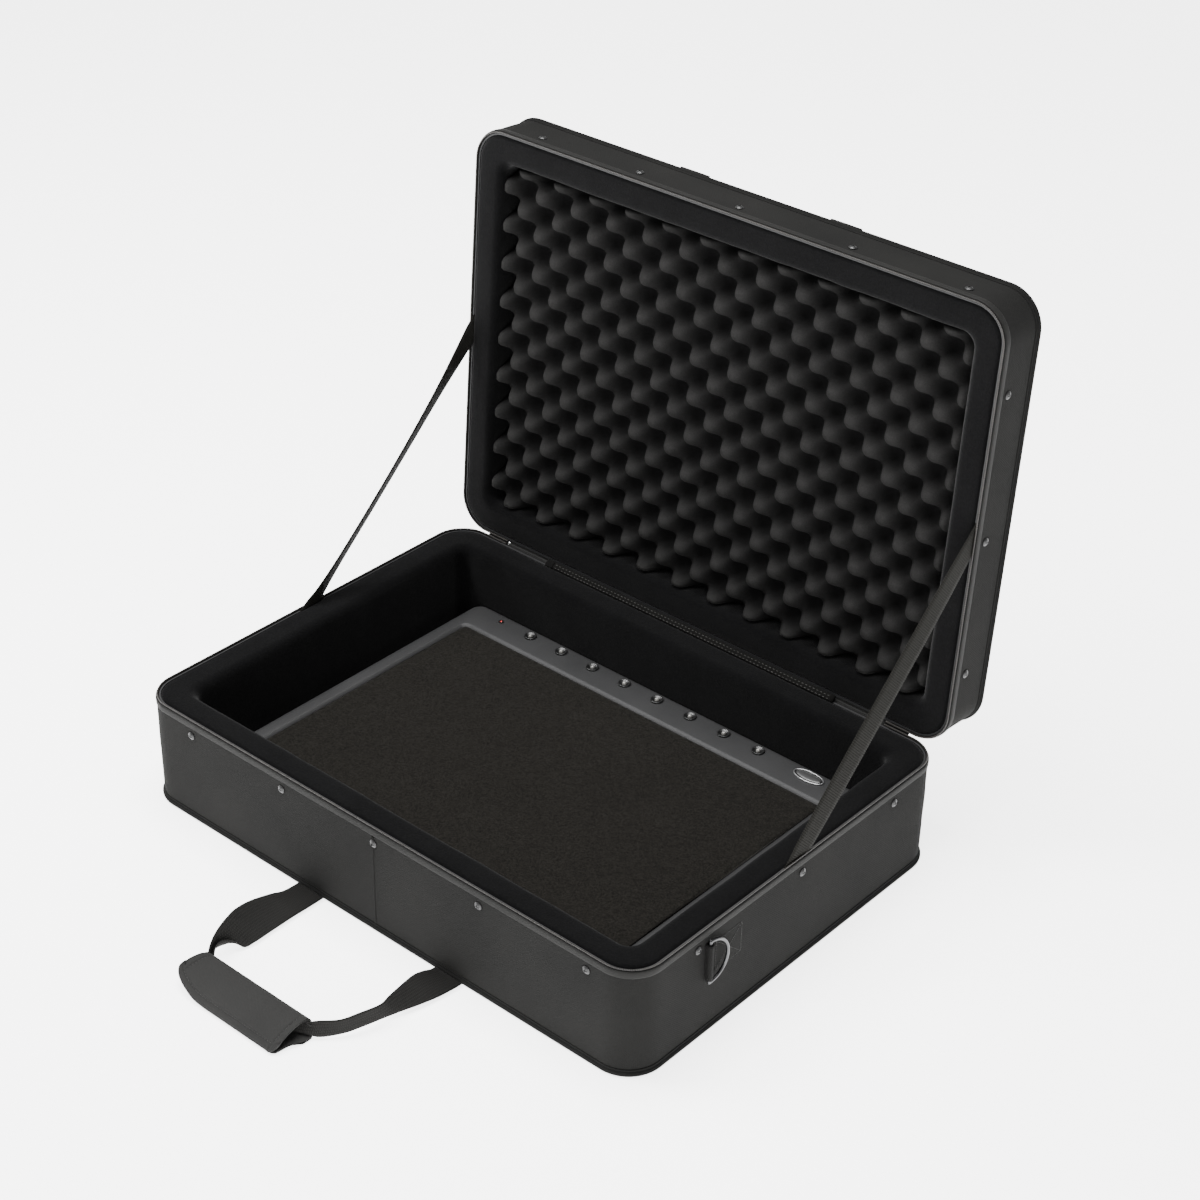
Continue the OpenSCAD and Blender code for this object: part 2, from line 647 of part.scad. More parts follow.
// Foam panel whose face rises and falls in staggered peaks, from two crossed cosine waves
module lid_egg_foam() {
    inset = cavity_in + egg_gap + liner_corner_r * (1 - sqrt(0.5));
    w = case_w - 2 * inset;
    d = case_d - 2 * inset;
    nx = 2 * egg_cols;
    ny = 2 * egg_rows;
    low = egg_t - egg_relief;
    corners = [for (j = [0 : ny], i = [0 : nx])
        [w * (i / nx - 0.5), d * (j / ny - 0.5), low + egg_relief * ((i + j) % 2)]];
    middles = [for (j = [0 : ny - 1], i = [0 : nx - 1])
        [w * ((i + 0.5) / nx - 0.5), d * ((j + 0.5) / ny - 0.5), low + egg_relief * 0.5]];
    edge = concat([for (i = [0 : nx - 1]) i], [for (j = [0 : ny - 1]) j * (nx + 1) + nx],
        [for (i = [nx : -1 : 1]) ny * (nx + 1) + i], [for (j = [ny : -1 : 1]) j * (nx + 1)]);
    feet = [for (k = edge) [corners[k][0], corners[k][1], 0]];
    nc = len(corners);
    nf = nc + len(middles);
    ne = len(edge);
    face = [for (j = [0 : ny - 1], i = [0 : nx - 1]) let (a = j * (nx + 1) + i, m = nc + j * nx + i)
        each [[m, a + 1, a], [m, a + nx + 2, a + 1], [m, a + nx + 1, a + nx + 2], [m, a, a + nx + 1]]];
    sides = [for (k = [0 : ne - 1]) let (l = (k + 1) % ne)
        each [[edge[k], edge[l], nf + l], [edge[k], nf + l, nf + k], [nf + ne, nf + k, nf + l]]];
    color([0.23, 0.23, 0.23]) lid_place() translate([0, 0, floor_top + layer_gap])
        polyhedron(points = concat(corners, middles, feet, [[0, 0, 0]]), faces = concat(face, sides));
}

// Second carrying loop, a plain length of webbing that hangs straight down behind the standing lid
module lid_handle_webbing() {
    w = handle_span / 2;
    r = handle_reach;
    half = [[w, arm_lap, 0, 0], [w, -r * 0.35, 2, 5], [w - 2, -r * 0.62, 6, 20], [w - 20, -r * 0.88, 9, 30],
        [w * 0.42, -r, 7, 15]];
    color([0.24, 0.24, 0.24]) opened() translate([handle_shift, lid_handle_axis_y, lid_handle_axis_z])
        rotate([lid_open - 90, 0, 0]) mirror([0, 1, 0]) band(concat(
            [for (v = half) [-v[0], v[1], v[2], v[3]]], [[0, -r * 1.01, 6, 10]],
            [for (i = [len(half) - 1 : -1 : 0]) half[i]]), 1);
}
lid_handle_axis_y = anchor_end_y - webbing_t / 2;
lid_handle_axis_z = closed_h + lid_fold + norm([webbing_t / 2, arm_lap]) + 0.05;

// ---------- pedal board ----------

module board_place() {
    translate([0, board_y, board_z]) children();
}

// Puts children at the six cover screws, clear of the feet
module at_cover_screws() {
    for (x = [-1, 0, 1], y = [-1, 1]) translate([x * (feet_x - 22), y * (feet_y - 30), 0]) children();
}

// Hollow moulded deck, open underneath, with a raised bevelled border and bosses for its cover
module board_deck() {
    color([0.3, 0.3, 0.31]) difference() {
        board_place() {
            difference() {
                linear_extrude(board_h) rounded(board_w, board_d, board_r);
                sweep_round(board_w, board_d, board_r)
                    polygon([[-bevel, board_h + 0.1], [-bevel, board_h], [0, board_h - bevel],
                        [1, board_h - bevel], [1, board_h + 0.1]]);
                translate([0, 0, -1]) linear_extrude(board_h - carpet_drop - board_wall + 1)
                    rounded(board_w - 2 * board_wall, board_d - 2 * board_wall, board_r - board_wall);
            }
            at_cover_screws() translate([0, 0, 3]) difference() {
                cylinder(r = 5, h = board_h - carpet_drop - 4);
                translate([0, 0, -1]) cylinder(r = 1.55, h = 16, $fn = 24);
            }
            for (share = rib_at)
                translate([share * board_w - 1.25, -board_d / 2 + board_wall - 0.5, board_h / 2])
                    cube([2.5, board_d - board_wall - jack_border_w, board_h / 2 - carpet_drop - 2]);
        }
        translate([0, carpet_y, deck_z - carpet_drop]) linear_extrude(10)
            rounded(carpet_w, carpet_d, carpet_r);
        for (x = jack_x) translate([x, jack_y, deck_z - 20])
            cylinder(r = jack_r + layer_gap, h = 30, $fn = 32);
        for (x = jack_x) translate([x - 8, jack_y - 8, board_z + 20])
            cube([16, 16, board_h - 20 - board_wall]);
        translate([led_x, jack_y, deck_z - 20]) cylinder(r = 2.6, h = 30, $fn = 24);
    }
}

module board_carpet() {
    color([0.16, 0.15, 0.13]) translate([0, carpet_y, deck_z - carpet_drop])
        linear_extrude(carpet_t) rounded(carpet_w - 2 * layer_gap, carpet_d - 2 * layer_gap, carpet_r);
}

// Cover plate that closes the board's underside
module board_bottom_cover() {
    color([0.2, 0.2, 0.2]) board_place() difference() {
        linear_extrude(2.8) rounded(board_w - 2 * board_wall - 2 * layer_gap,
            board_d - 2 * board_wall - 2 * layer_gap, board_r - board_wall);
        at_cover_screws() cylinder(r = 1.8, h = 9, center = true, $fn = 24);
    }
}

module board_cover_screws() {
    color([0.4, 0.4, 0.41]) board_place() at_cover_screws() {
        translate([0, 0, -1.4]) cylinder(r = 3.2, h = 1.4, $fn = 32);
        cylinder(r = 1.45, h = 12, $fn = 24);
    }
}

// Six round feet under the cover
module board_feet() {
    color([0.08, 0.08, 0.08]) board_place() for (x = [-1, 0, 1], y = [-1, 1])
        translate([x * feet_x, y * feet_y, -foot_h]) difference() {
            cylinder(d = foot_d, h = foot_h);
            translate([0, 0, -0.1]) cylinder(d = foot_d * 0.4, h = foot_h * 0.4, $fn = 32);
        }
}

// Circuit board under the jack border, which the jacks are soldered to
module board_circuit() {
    color([0.1, 0.3, 0.15]) translate([0, 0, circuit_z]) difference() {
        translate([led_x - 10, jack_y - 11, 0])
            cube([jack_x[jack_count - 1] + 12 - led_x + 10, circuit_d, circuit_t]);
        for (x = jack_x) translate([x, jack_y, -5]) cylinder(r = 1.2, h = 15, $fn = 24);
    }
}

// Jack barrels through the deck, bored for the plug
module board_jacks() {
    color([0.06, 0.06, 0.06]) for (x = jack_x) translate([x, jack_y, deck_z]) difference() {
        union() {
            translate([0, 0, -jack_depth]) cylinder(r = jack_r, h = jack_depth + 2, $fn = 32);
            translate([-7, -7, -jack_depth]) cube([14, 14, jack_depth - board_wall - layer_gap]);
        }
        translate([0, 0, -9]) cylinder(r = 2.8, h = 20, $fn = 32);
        translate([0, 0, -20]) cylinder(r = 1.15, h = 20, $fn = 24);
    }
}

// Ring nuts that clamp the jacks to the deck
module board_jack_nuts() {
    color([0.1, 0.1, 0.1]) for (x = jack_x) translate([x, jack_y, deck_z]) difference() {
        cylinder(r = jack_r + 2, h = 2.2, $fn = 32);
        translate([0, 0, -1]) cylinder(r = jack_r + 0.1, h = 6, $fn = 32);
    }
}

// Bright centre pins of the jacks, soldered through the circuit board
module board_jack_pins() {
    color([0.85, 0.82, 0.75]) for (x = jack_x) translate([x, jack_y, circuit_z - 0.6]) {
        cylinder(r = 1.05, h = pin_l, $fn = 24);
        translate([0, 0, pin_l]) sphere(r = 1.05, $fn = 24);
    }
}

// Power lamp: a red dome on a body that stands on the circuit board
module board_lamp() {
    color([0.7, 0.05, 0.05]) translate([led_x, jack_y, deck_z]) {
        translate([0, 0, -14.5]) cylinder(r = 1.4, h = 14.7, $fn = 24);
        translate([0, 0, 0.2]) sphere(r = 1.4, $fn = 24);
    }
}

module board_lamp_bezel() {
    color([0.08, 0.08, 0.08]) translate([led_x, jack_y, deck_z - 4]) difference() {
        union() {
            cylinder(r = 2.5, h = 4, $fn = 24);
            translate([0, 0, 4]) cylinder(r = 3.4, h = 0.7, $fn = 24);
        }
        translate([0, 0, -1]) cylinder(r = 1.5, h = 10, $fn = 24);
    }
}

// Plain oval plate on the jack border
module board_name_plate() {
    color([0.75, 0.75, 0.75]) translate([plate_x, jack_y, deck_z]) difference() {
        linear_extrude(1.6) oval(plate_w, plate_d);
        translate([0, 0, 1]) linear_extrude(2) oval(plate_w - 3, plate_d - 3);
    }
}

// Oval with round ends and straight sides
module oval(w, d) {
    square([w - d, d], center = true);
    for (s = [-1, 1]) translate([s * (w - d) / 2, 0]) circle(d = d, $fn = 64);
}

base_skin();
base_piping();
base_rim_binding();
base_zipper();
base_wall_sheet();
base_floor_board();
base_foam_liner();
base_floor_pad();
base_screws();
handle_anchors_base();
handle_anchors_lid();
hinge_web();
hinge_facing();
stay_left();
stay_right();
ring_tab_left();
ring_tab_right();
ring_left();
ring_right();
slider_left();
slider_right();
pull_left();
pull_right();
base_handle_webbing();
base_handle_grip();
lid_handle_webbing();
lid_skin();
lid_piping();
lid_rim_binding();
lid_zipper();
lid_wall_sheet();
lid_top_board();
lid_foam_frame();
lid_egg_foam();
lid_screws();
board_deck();
board_carpet();
board_bottom_cover();
board_cover_screws();
board_feet();
board_circuit();
board_jacks();
board_jack_nuts();
board_jack_pins();
board_lamp();
board_lamp_bezel();
board_name_plate();
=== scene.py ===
"""A soft-sided pedal case standing open: cloth trays, plush foam, an egg-crate lid and a carpeted board.
Lengths are in metres."""
import math

import bmesh
import bpy
from mathutils import Matrix, Vector, noise


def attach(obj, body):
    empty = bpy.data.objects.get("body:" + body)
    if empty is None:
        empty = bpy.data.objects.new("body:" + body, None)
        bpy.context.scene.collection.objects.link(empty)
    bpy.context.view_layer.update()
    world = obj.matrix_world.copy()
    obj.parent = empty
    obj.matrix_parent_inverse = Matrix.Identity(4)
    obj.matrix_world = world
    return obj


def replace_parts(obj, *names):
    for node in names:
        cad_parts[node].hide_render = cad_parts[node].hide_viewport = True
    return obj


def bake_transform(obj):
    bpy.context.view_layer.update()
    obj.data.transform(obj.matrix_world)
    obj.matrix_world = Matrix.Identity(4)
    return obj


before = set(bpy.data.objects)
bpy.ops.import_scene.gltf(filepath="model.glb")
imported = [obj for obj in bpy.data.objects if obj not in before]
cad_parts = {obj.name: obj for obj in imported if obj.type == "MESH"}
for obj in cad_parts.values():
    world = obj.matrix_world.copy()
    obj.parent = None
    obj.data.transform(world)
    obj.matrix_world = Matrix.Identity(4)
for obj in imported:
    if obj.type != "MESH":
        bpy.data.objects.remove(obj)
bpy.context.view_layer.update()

# ---- sizes shared with the solids ----
CASE_W, CASE_D, BASE_H, LID_H = 0.700, 0.495, 0.130, 0.062
CORNER_R, RIM_GAP, LID_ANGLE = 0.039, 0.0054, math.radians(93.8)
HINGE_Y, HINGE_Z = CASE_D / 2, BASE_H + RIM_GAP / 2
# insets of the foam liner's two faces, the radius of its cavity's corners and the rise of its soft edge
LINER_OUT, LINER_IN, LINER_R, CROWN = 0.0047, 0.038, 0.015, 0.0011
FLOOR_TOP = 0.0051
LONG_SCREWS = [-0.270, -0.130, 0.005, 0.150, 0.290]
SHORT_SCREWS = [-0.155, 0.007, 0.162]
SCREW_DROP = 0.018
WEB_HALF = 0.273
# handle webbing: half its width, its height in the seam, the handle's middle and how far out its arms leave
STRAP_HALF, SEAM_Z, HANDLE_X, ARM_OUT = 0.019, 0.0026, 0.010, 0.100
DECK_Z = 0.0653
JACK_PITCH, JACK_SHIFT, JACK_Y = 0.0482, 0.017, 0.1915
JACK_XS = [(i - 3.5) * JACK_PITCH - JACK_SHIFT for i in range(8)]
UP = Vector((0, 0, 1))


# ---- mesh helpers ----

def onto_lid(p):
    """A point of a tray drawn open side up, put where the open lid holds it."""
    x, y, z = p
    dy, dz = y - CASE_D / 2, BASE_H + RIM_GAP + LID_H - z - HINGE_Z
    c, s = math.cos(-LID_ANGLE), math.sin(-LID_ANGLE)
    return (x, HINGE_Y + dy * c - dz * s, HINGE_Z + dy * s + dz * c)


def stay_put(p):
    return tuple(p)


def make_piece(name, verts, faces, material, body=None, uvs=None, solid=True):
    """A smooth-shaded mesh with one material; solid meshes get their faces turned outward."""
    mesh = bpy.data.meshes.new(name)
    mesh.from_pydata([tuple(v) for v in verts], [], faces)
    if uvs is not None:
        layer = mesh.uv_layers.new(name="lay")
        for loop in mesh.loops:
            layer.data[loop.index].uv = uvs[loop.vertex_index]
    if solid:
        bm = bmesh.new()
        bm.from_mesh(mesh)
        bmesh.ops.recalc_face_normals(bm, faces=bm.faces)
        bm.to_mesh(mesh)
        bm.free()
    for f in mesh.polygons:
        f.use_smooth = True
    mesh.update()
    piece = bpy.data.objects.new(name, mesh)
    bpy.context.scene.collection.objects.link(piece)
    piece.data.materials.append(material)
    if body:
        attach(piece, body)
    return piece


def skin_rows(rows, around=False, closed=False):
    """Faces between rows of points; around joins each row's ends, closed joins the last row to the first."""
    n, m = len(rows[0]), len(rows)
    faces = []
    for j in range(m if closed else m - 1):
        for i in range(n if around else n - 1):
            a, b = j * n + i, j * n + (i + 1) % n
            c, d = ((j + 1) % m) * n + (i + 1) % n, ((j + 1) % m) * n + i
            faces.append((a, b, c, d))
    return [p for row in rows for p in row], faces


def tube(rows):
    """Faces round rows of points, with both ends closed."""
    verts, faces = skin_rows(rows, around=True)
    n = len(rows[0])
    faces += [tuple(range(n - 1, -1, -1)), tuple(len(verts) - n + i for i in range(n))]
    return verts, faces


def grid_rim(nx, ny):
    """Vertex numbers round the edge of a grid of nx by ny faces."""
    edge = ([(i, 0) for i in range(nx)] + [(nx, j) for j in range(ny)]
            + [(i, ny) for i in range(nx, 0, -1)] + [(0, j) for j in range(ny, 0, -1)])
    return [j * (nx + 1) + i for i, j in edge]


def oblong(half_x, half_y, radius, z, middle_y=0.0, long_steps=40, short_steps=28, arc=8):
    """Points round a round-cornered rectangle, anticlockwise from its right-hand back corner."""
    corners = [(1, 1), (-1, 1), (-1, -1), (1, -1)]

    def on_corner(k, degrees):
        sx, sy = corners[k % 4]
        a = math.radians(degrees)
        return (sx * (half_x - radius) + radius * math.cos(a),
                middle_y + sy * (half_y - radius) + radius * math.sin(a), z)

    ring = []
    for k in range(4):
        ring += [on_corner(k, 90 * k + 90 * i / arc) for i in range(arc + 1)]
        start, end = ring[-1], on_corner(k + 1, 90 * (k + 1))
        steps = (long_steps, short_steps)[k % 2]
        ring += [tuple(a + (b - a) * (i / steps) for a, b in zip(start, end)) for i in range(1, steps)]
    return ring


def tray_ring(inset, z, radius, along=0.011, arc=9):
    """Points round a tray at one inset and height."""
    return oblong(CASE_W / 2 - inset, CASE_D / 2 - inset, radius, z, 0.0,
                  round(CASE_W / along), round(CASE_D / along), arc)


def outward(p):
    """The direction straight out of the tray wall nearest to p."""
    cx = max(abs(p[0]) - (CASE_W / 2 - CORNER_R), 0) * (1 if p[0] > 0 else -1)
    cy = max(abs(p[1]) - (CASE_D / 2 - CORNER_R), 0) * (1 if p[1] > 0 else -1)
    v = Vector((cx, cy, 0))
    return v.normalized() if v.length > 1e-9 else Vector((0, 0, 0))


def tray_sweep(profile, place, arc=9, kept=None):
    """A closed profile of (how far outside the wall, height) swept round a tray."""
    rows = [tray_ring(-out, z, CORNER_R + out, arc=arc) for out, z in profile]
    verts, faces = skin_rows(rows, around=True, closed=True)
    if kept:
        n = len(rows[0])
        faces = [f for f in faces if kept(verts[f[0] % n]) and kept(verts[f[1] % n])]
    return [place(v) for v in verts], faces


def ripple(p, size, seed):
    return noise.noise(Vector((p[0] / size + seed, p[1] / size - seed, p[2] / size + 2 * seed)))


def smooth_path(points, count):
    """Catmull-Rom through the points; each may carry more than three numbers."""
    out = []
    n = len(points) - 1
    for k in range(count + 1):
        u = min(k * n / count, n - 1e-9)
        i = int(u)
        t = u - i
        a, b = points[max(i - 1, 0)], points[i]
        c, d = points[i + 1], points[min(i + 2, n)]
        out.append([0.5 * (2 * q + (r - p) * t + (2 * p - 5 * q + 4 * r - s) * t * t
                           + (3 * q - p - 3 * r + s) * t ** 3) for p, q, r, s in zip(a, b, c, d)])
    return out


def band_section(width, thick):
    """The outline of a woven band with rounded selvedges."""
    half, t = width / 2, thick / 2
    upper = [(-half + t * 0.5, t * 0.8), (-half * 0.55, t), (0, t * 0.94), (half * 0.55, t),
             (half - t * 0.5, t * 0.8)]
    return [(-half, 0), *upper, (half, 0), *((a, -b) for a, b in upper[::-1])]


def band(name, stations, section, material, body=None, count=60, lean=None, place=stay_put):
    """A section swept through stations of (x, y, z, roll in degrees), with its lay in its UVs."""
    pts = smooth_path(stations, count)
    rows, uvs, run = [], [], 0.0
    for k, p in enumerate(pts):
        here, before, after = (Vector(q[:3]) for q in (p, pts[max(k - 1, 0)], pts[min(k + 1, count)]))
        go = (after - before).normalized()
        side = lean if lean is not None else go.cross(UP)
        side = (side - go * side.dot(go)).normalized()
        up = side.cross(go)
        roll = math.radians(p[3])
        rolled_side = side * math.cos(roll) + up * math.sin(roll)
        rolled_up = up * math.cos(roll) - side * math.sin(roll)
        run += (here - before).length
        rows.append([place(here + rolled_side * a + rolled_up * b) for a, b in section])
        uvs += [(a, run) for a, _ in section]
    verts, faces = tube(rows)
    return make_piece(name, verts, faces, material, body, uvs)


def railed_band(name, rails, thick, material, body, count=64):
    """A band drawn by its outer edge, its middle and its inner edge: nine numbers to a station."""
    shares = (0, 0.06, 0.18, 0.32, 0.45, 0.55, 0.68, 0.82, 0.94, 1)
    last = len(shares) - 1
    pts = [(Vector(p[0:3]), Vector(p[3:6]), Vector(p[6:9])) for p in smooth_path(rails, count)]
    rows, uvs, run = [], [], 0.0
    for k, (a, b, c) in enumerate(pts):
        before, after = pts[max(k - 1, 0)][1], pts[min(k + 1, count)][1]
        go = (after - before).normalized()
        bend = b * 2 - (a + c) / 2
        line = [a * (1 - s) ** 2 + bend * (2 * s * (1 - s)) + c * s * s for s in shares]
        run += (b - before).length
        upper, lower, lay = [], [], []
        walked = -((a - b).length)
        for i, q in enumerate(line):
            across = line[min(i + 1, last)] - line[max(i - 1, 0)]
            face = across.cross(go).normalized() * (thick / 2 * (0.3 if i in (0, last) else 1.0))
            walked += (q - line[max(i - 1, 0)]).length
            upper.append(q + face)
            lower.append(q - face)
            lay.append((walked, run))
        rows.append(upper + lower[::-1])
        uvs += lay + lay[::-1]
    verts, faces = tube(rows)
    return make_piece(name, verts, faces, material, body, uvs)


def turned(profile, centre, sides=32):
    """A closed profile of (radius, height) turned round an upright axis."""
    cx, cy, cz = centre
    turns = [2 * math.pi * k / sides for k in range(sides)]
    rows = [[(cx + r * math.cos(a), cy + r * math.sin(a), cz + h) for r, h in profile] for a in turns]
    return skin_rows(rows, around=True, closed=True)


# a stitch's cross-sections: (place along it, width, height), each as a share
STITCH_SHAPE = ((-0.5, 0.3, -0.4), (-0.32, 1, 0.7), (0, 1, 1), (0.32, 1, 0.7), (0.5, 0.3, -0.4))
STITCH_LENGTH = 0.62


def stitch_run(name, path, pitch, material, body, width=0.0007, rise=0.00035):
    """A row of thread stitches along a path of (point, surface direction)."""
    verts, faces = [], []
    walked, due = 0.0, pitch * 0.5
    for (p0, n0), (p1, n1) in zip(path, path[1:]):
        p0, p1 = Vector(p0), Vector(p1)
        seg = (p1 - p0).length
        while seg > 1e-9 and due < walked + seg:
            t = (due - walked) / seg
            mid, up = p0.lerp(p1, t), Vector(n0).lerp(Vector(n1), t).normalized()
            go = (p1 - p0).normalized()
            half, foot = go.cross(up).normalized() * width / 2, up * rise * 0.6
            base = len(verts)
            for share, wide, high in STITCH_SHAPE:
                c = mid + go * (pitch * STITCH_LENGTH * share)
                verts += [c - half * wide - foot, c + up * rise * high, c + half * wide - foot]
            for a in range(base, base + 12, 3):
                faces += [(a, a + 1, a + 4, a + 3), (a + 1, a + 2, a + 5, a + 4), (a + 2, a, a + 3, a + 5)]
            faces += [(base, base + 2, base + 1), (base + 12, base + 13, base + 14)]
            due += pitch
        walked += seg
    return make_piece(name, verts, faces, material, body, solid=False)


# ---- shader groups ----

def new_group(name, inputs, outputs):
    g = bpy.data.node_groups.new(name, "ShaderNodeTree")
    for label, value in inputs:
        g.interface.new_socket(label, in_out="INPUT", socket_type="NodeSocketFloat").default_value = value
    for label in outputs:
        g.interface.new_socket(label, in_out="OUTPUT", socket_type="NodeSocketFloat")
    return g, g.nodes.new("NodeGroupInput"), g.nodes.new("NodeGroupOutput")


class Wiring:
    """Short words for adding nodes to one tree."""

    def __init__(self, tree):
        self.tree = tree

    def put(self, socket, value):
        if isinstance(value, bpy.types.NodeSocket):
            self.tree.links.new(value, socket)
        elif value is not None:
            socket.default_value = value

    def node(self, kind, **settings):
        n = self.tree.nodes.new(kind)
        for k, v in settings.items():
            setattr(n, k, v)
        return n

    def math(self, operation, a, b=None, c=None, clamp=False):
        n = self.node("ShaderNodeMath", operation=operation, use_clamp=clamp)
        for socket, value in zip(n.inputs, (a, b, c)):
            self.put(socket, value)
        return n.outputs[0]

    def noise(self, size, detail, rough):
        """Noise whose spots are about size metres across, from -1 to 1 round 0."""
        n = self.node("ShaderNodeTexNoise")
        self.put(n.inputs["Vector"], self.node("ShaderNodeTexCoord").outputs["Object"])
        self.put(n.inputs["Scale"], self.math("DIVIDE", 1.0, size))
        self.put(n.inputs["Detail"], detail)
        self.put(n.inputs["Roughness"], rough)
        return self.math("MULTIPLY_ADD", n.outputs["Fac"], 2.0, -1.0)

    def mix(self, factor, a, b):
        n = self.node("ShaderNodeMix", data_type="RGBA")
        self.put(n.inputs["Factor"], factor)
        self.put(n.inputs["A"], (*a, 1) if isinstance(a, tuple) else a)
        self.put(n.inputs["B"], (*b, 1) if isinstance(b, tuple) else b)
        return n.outputs["Result"]


def cloth_weave_group():
    """Plain weave laid on whichever way the surface faces: threads over and under at Pitch."""
    g, gin, gout = new_group("cloth_weave", [("Pitch", 0.0012)], ["Height", "Thread"])
    w = Wiring(g)
    coord = w.node("ShaderNodeTexCoord")
    p = w.node("ShaderNodeSeparateXYZ")
    w.put(p.inputs[0], coord.outputs["Object"])
    n = w.node("ShaderNodeSeparateXYZ")
    w.put(n.inputs[0], coord.outputs["Normal"])
    ax, ay, az = (w.math("ABSOLUTE", n.outputs[k]) for k in range(3))
    faces_x = w.math("GREATER_THAN", ax, w.math("MAXIMUM", ay, az))
    faces_z = w.math("GREATER_THAN", az, w.math("MAXIMUM", ax, ay))
    across = w.math("ADD", w.math("MULTIPLY", p.outputs[1], faces_x),
                    w.math("MULTIPLY", p.outputs[0], w.math("SUBTRACT", 1.0, faces_x)))
    upward = w.math("ADD", w.math("MULTIPLY", p.outputs[1], faces_z),
                    w.math("MULTIPLY", p.outputs[2], w.math("SUBTRACT", 1.0, faces_z)))
    u = w.math("DIVIDE", across, gin.outputs["Pitch"])
    v = w.math("DIVIDE", upward, gin.outputs["Pitch"])
    wave_u = w.math("SINE", w.math("MULTIPLY", u, math.pi))
    wave_v = w.math("SINE", w.math("MULTIPLY", v, math.pi))
    over = w.math("MULTIPLY", wave_u, wave_v)
    ridge = w.math("MAXIMUM", w.math("ABSOLUTE", wave_u), w.math("ABSOLUTE", wave_v))
    w.put(gout.inputs["Height"], w.math("MULTIPLY_ADD", over, 0.25, ridge))
    w.put(gout.inputs["Thread"], w.math("MULTIPLY_ADD", over, 0.5, 0.5))
    return g


def webbing_rib_group():
    """Webbing from its UV lay: short cross ribs in columns, each column half a rib on from the next."""
    g, gin, gout = new_group("webbing_rib", [("Rib", 0.0022), ("Column", 0.0031)], ["Height", "Groove"])
    w = Wiring(g)
    uv = w.node("ShaderNodeSeparateXYZ")
    w.put(uv.inputs[0], w.node("ShaderNodeTexCoord").outputs["UV"])
    col = w.math("ADD", w.math("DIVIDE", uv.outputs[0], gin.outputs["Column"]), 0.5)
    odd = w.math("MULTIPLY", w.math("FLOORED_MODULO", w.math("FLOOR", col), 2.0), 0.5)
    rib = w.math("ADD", w.math("DIVIDE", uv.outputs[1], gin.outputs["Rib"]), odd)
    rib_wave = w.math("ABSOLUTE", w.math("SINE", w.math("MULTIPLY", rib, math.pi)))
    col_wave = w.math("ABSOLUTE", w.math("SINE", w.math("MULTIPLY", col, math.pi)))
    height = w.math("MULTIPLY", w.math("POWER", rib_wave, 0.6), w.math("POWER", col_wave, 0.35))
    w.put(gout.inputs["Height"], height)
    w.put(gout.inputs["Groove"], w.math("SUBTRACT", 1.0, height))
    return g


def fibre_group():
    """Loose fibres and pores: fine speckle with a slow drift of tone under it."""
    g, gin, gout = new_group("fibre_fleck", [("Size", 0.001), ("Drift", 0.06)], ["Fleck", "Tone"])
    w = Wiring(g)
    w.put(gout.inputs["Fleck"], w.noise(gin.outputs["Size"], 4.0, 0.7))
    w.put(gout.inputs["Tone"], w.noise(gin.outputs["Drift"], 2.0, 0.5))
    return g


WEAVE, RIB, FIBRE = cloth_weave_group(), webbing_rib_group(), fibre_group()


def finish_of(name, rough, **fixed):
    """A material with its Principled shader's fixed sockets set; returns material, wiring, shader."""
    m = bpy.data.materials.new(name)
    m.use_nodes = True
    shader = m.node_tree.nodes["Principled BSDF"]
    shader.inputs["Roughness"].default_value = rough
    for k, v in fixed.items():
        shader.inputs[k.replace("_", " ")].default_value = v
    return m, Wiring(m.node_tree), shader


def bump(w, shader, height, depth):
    b = w.node("ShaderNodeBump")
    b.inputs["Strength"].default_value = 1.0
    b.inputs["Distance"].default_value = depth
    w.put(b.inputs["Height"], height)
    w.put(shader.inputs["Normal"], b.outputs["Normal"])


def group_node(w, tree, **values):
    n = w.node("ShaderNodeGroup", node_tree=tree)
    for k, v in values.items():
        n.inputs[k].default_value = v
    return n


def woven_cloth(name, dark, light, pitch=0.0013, depth=0.00022, rough=0.9):
    """Tightly woven nylon: the weave in tone and height, over a slow drift of tone."""
    m, w, shader = finish_of(name, rough, Sheen_Weight=0.01, Sheen_Roughness=0.6, Specular_IOR_Level=0.05)
    weave, fibre = group_node(w, WEAVE, Pitch=pitch), group_node(w, FIBRE, Size=0.0016, Drift=0.09)
    tone = w.math("ADD", w.math("MULTIPLY_ADD", weave.outputs["Thread"], 0.35, 0.3),
                  w.math("MULTIPLY_ADD", fibre.outputs["Fleck"], 0.45,
                         w.math("MULTIPLY", fibre.outputs["Tone"], 0.5)), clamp=True)
    w.put(shader.inputs["Base Color"], w.mix(tone, dark, light))
    bump(w, shader, w.math("MULTIPLY_ADD", fibre.outputs["Fleck"], 0.4, weave.outputs["Height"]), depth)
    return m


def ribbed_band(name, dark, light, rib=0.0022, column=0.0031, depth=0.00035):
    """Webbing: cross ribs from the lay of its UVs."""
    m, w, shader = finish_of(name, 0.75, Sheen_Weight=0.01, Sheen_Roughness=0.5, Specular_IOR_Level=0.05)
    lay, fibre = group_node(w, RIB, Rib=rib, Column=column), group_node(w, FIBRE, Size=0.0012, Drift=0.03)
    tone = w.math("MULTIPLY_ADD", fibre.outputs["Fleck"], 0.3, lay.outputs["Height"], clamp=True)
    w.put(shader.inputs["Base Color"], w.mix(tone, dark, light))
    bump(w, shader, lay.outputs["Height"], depth)
    return m


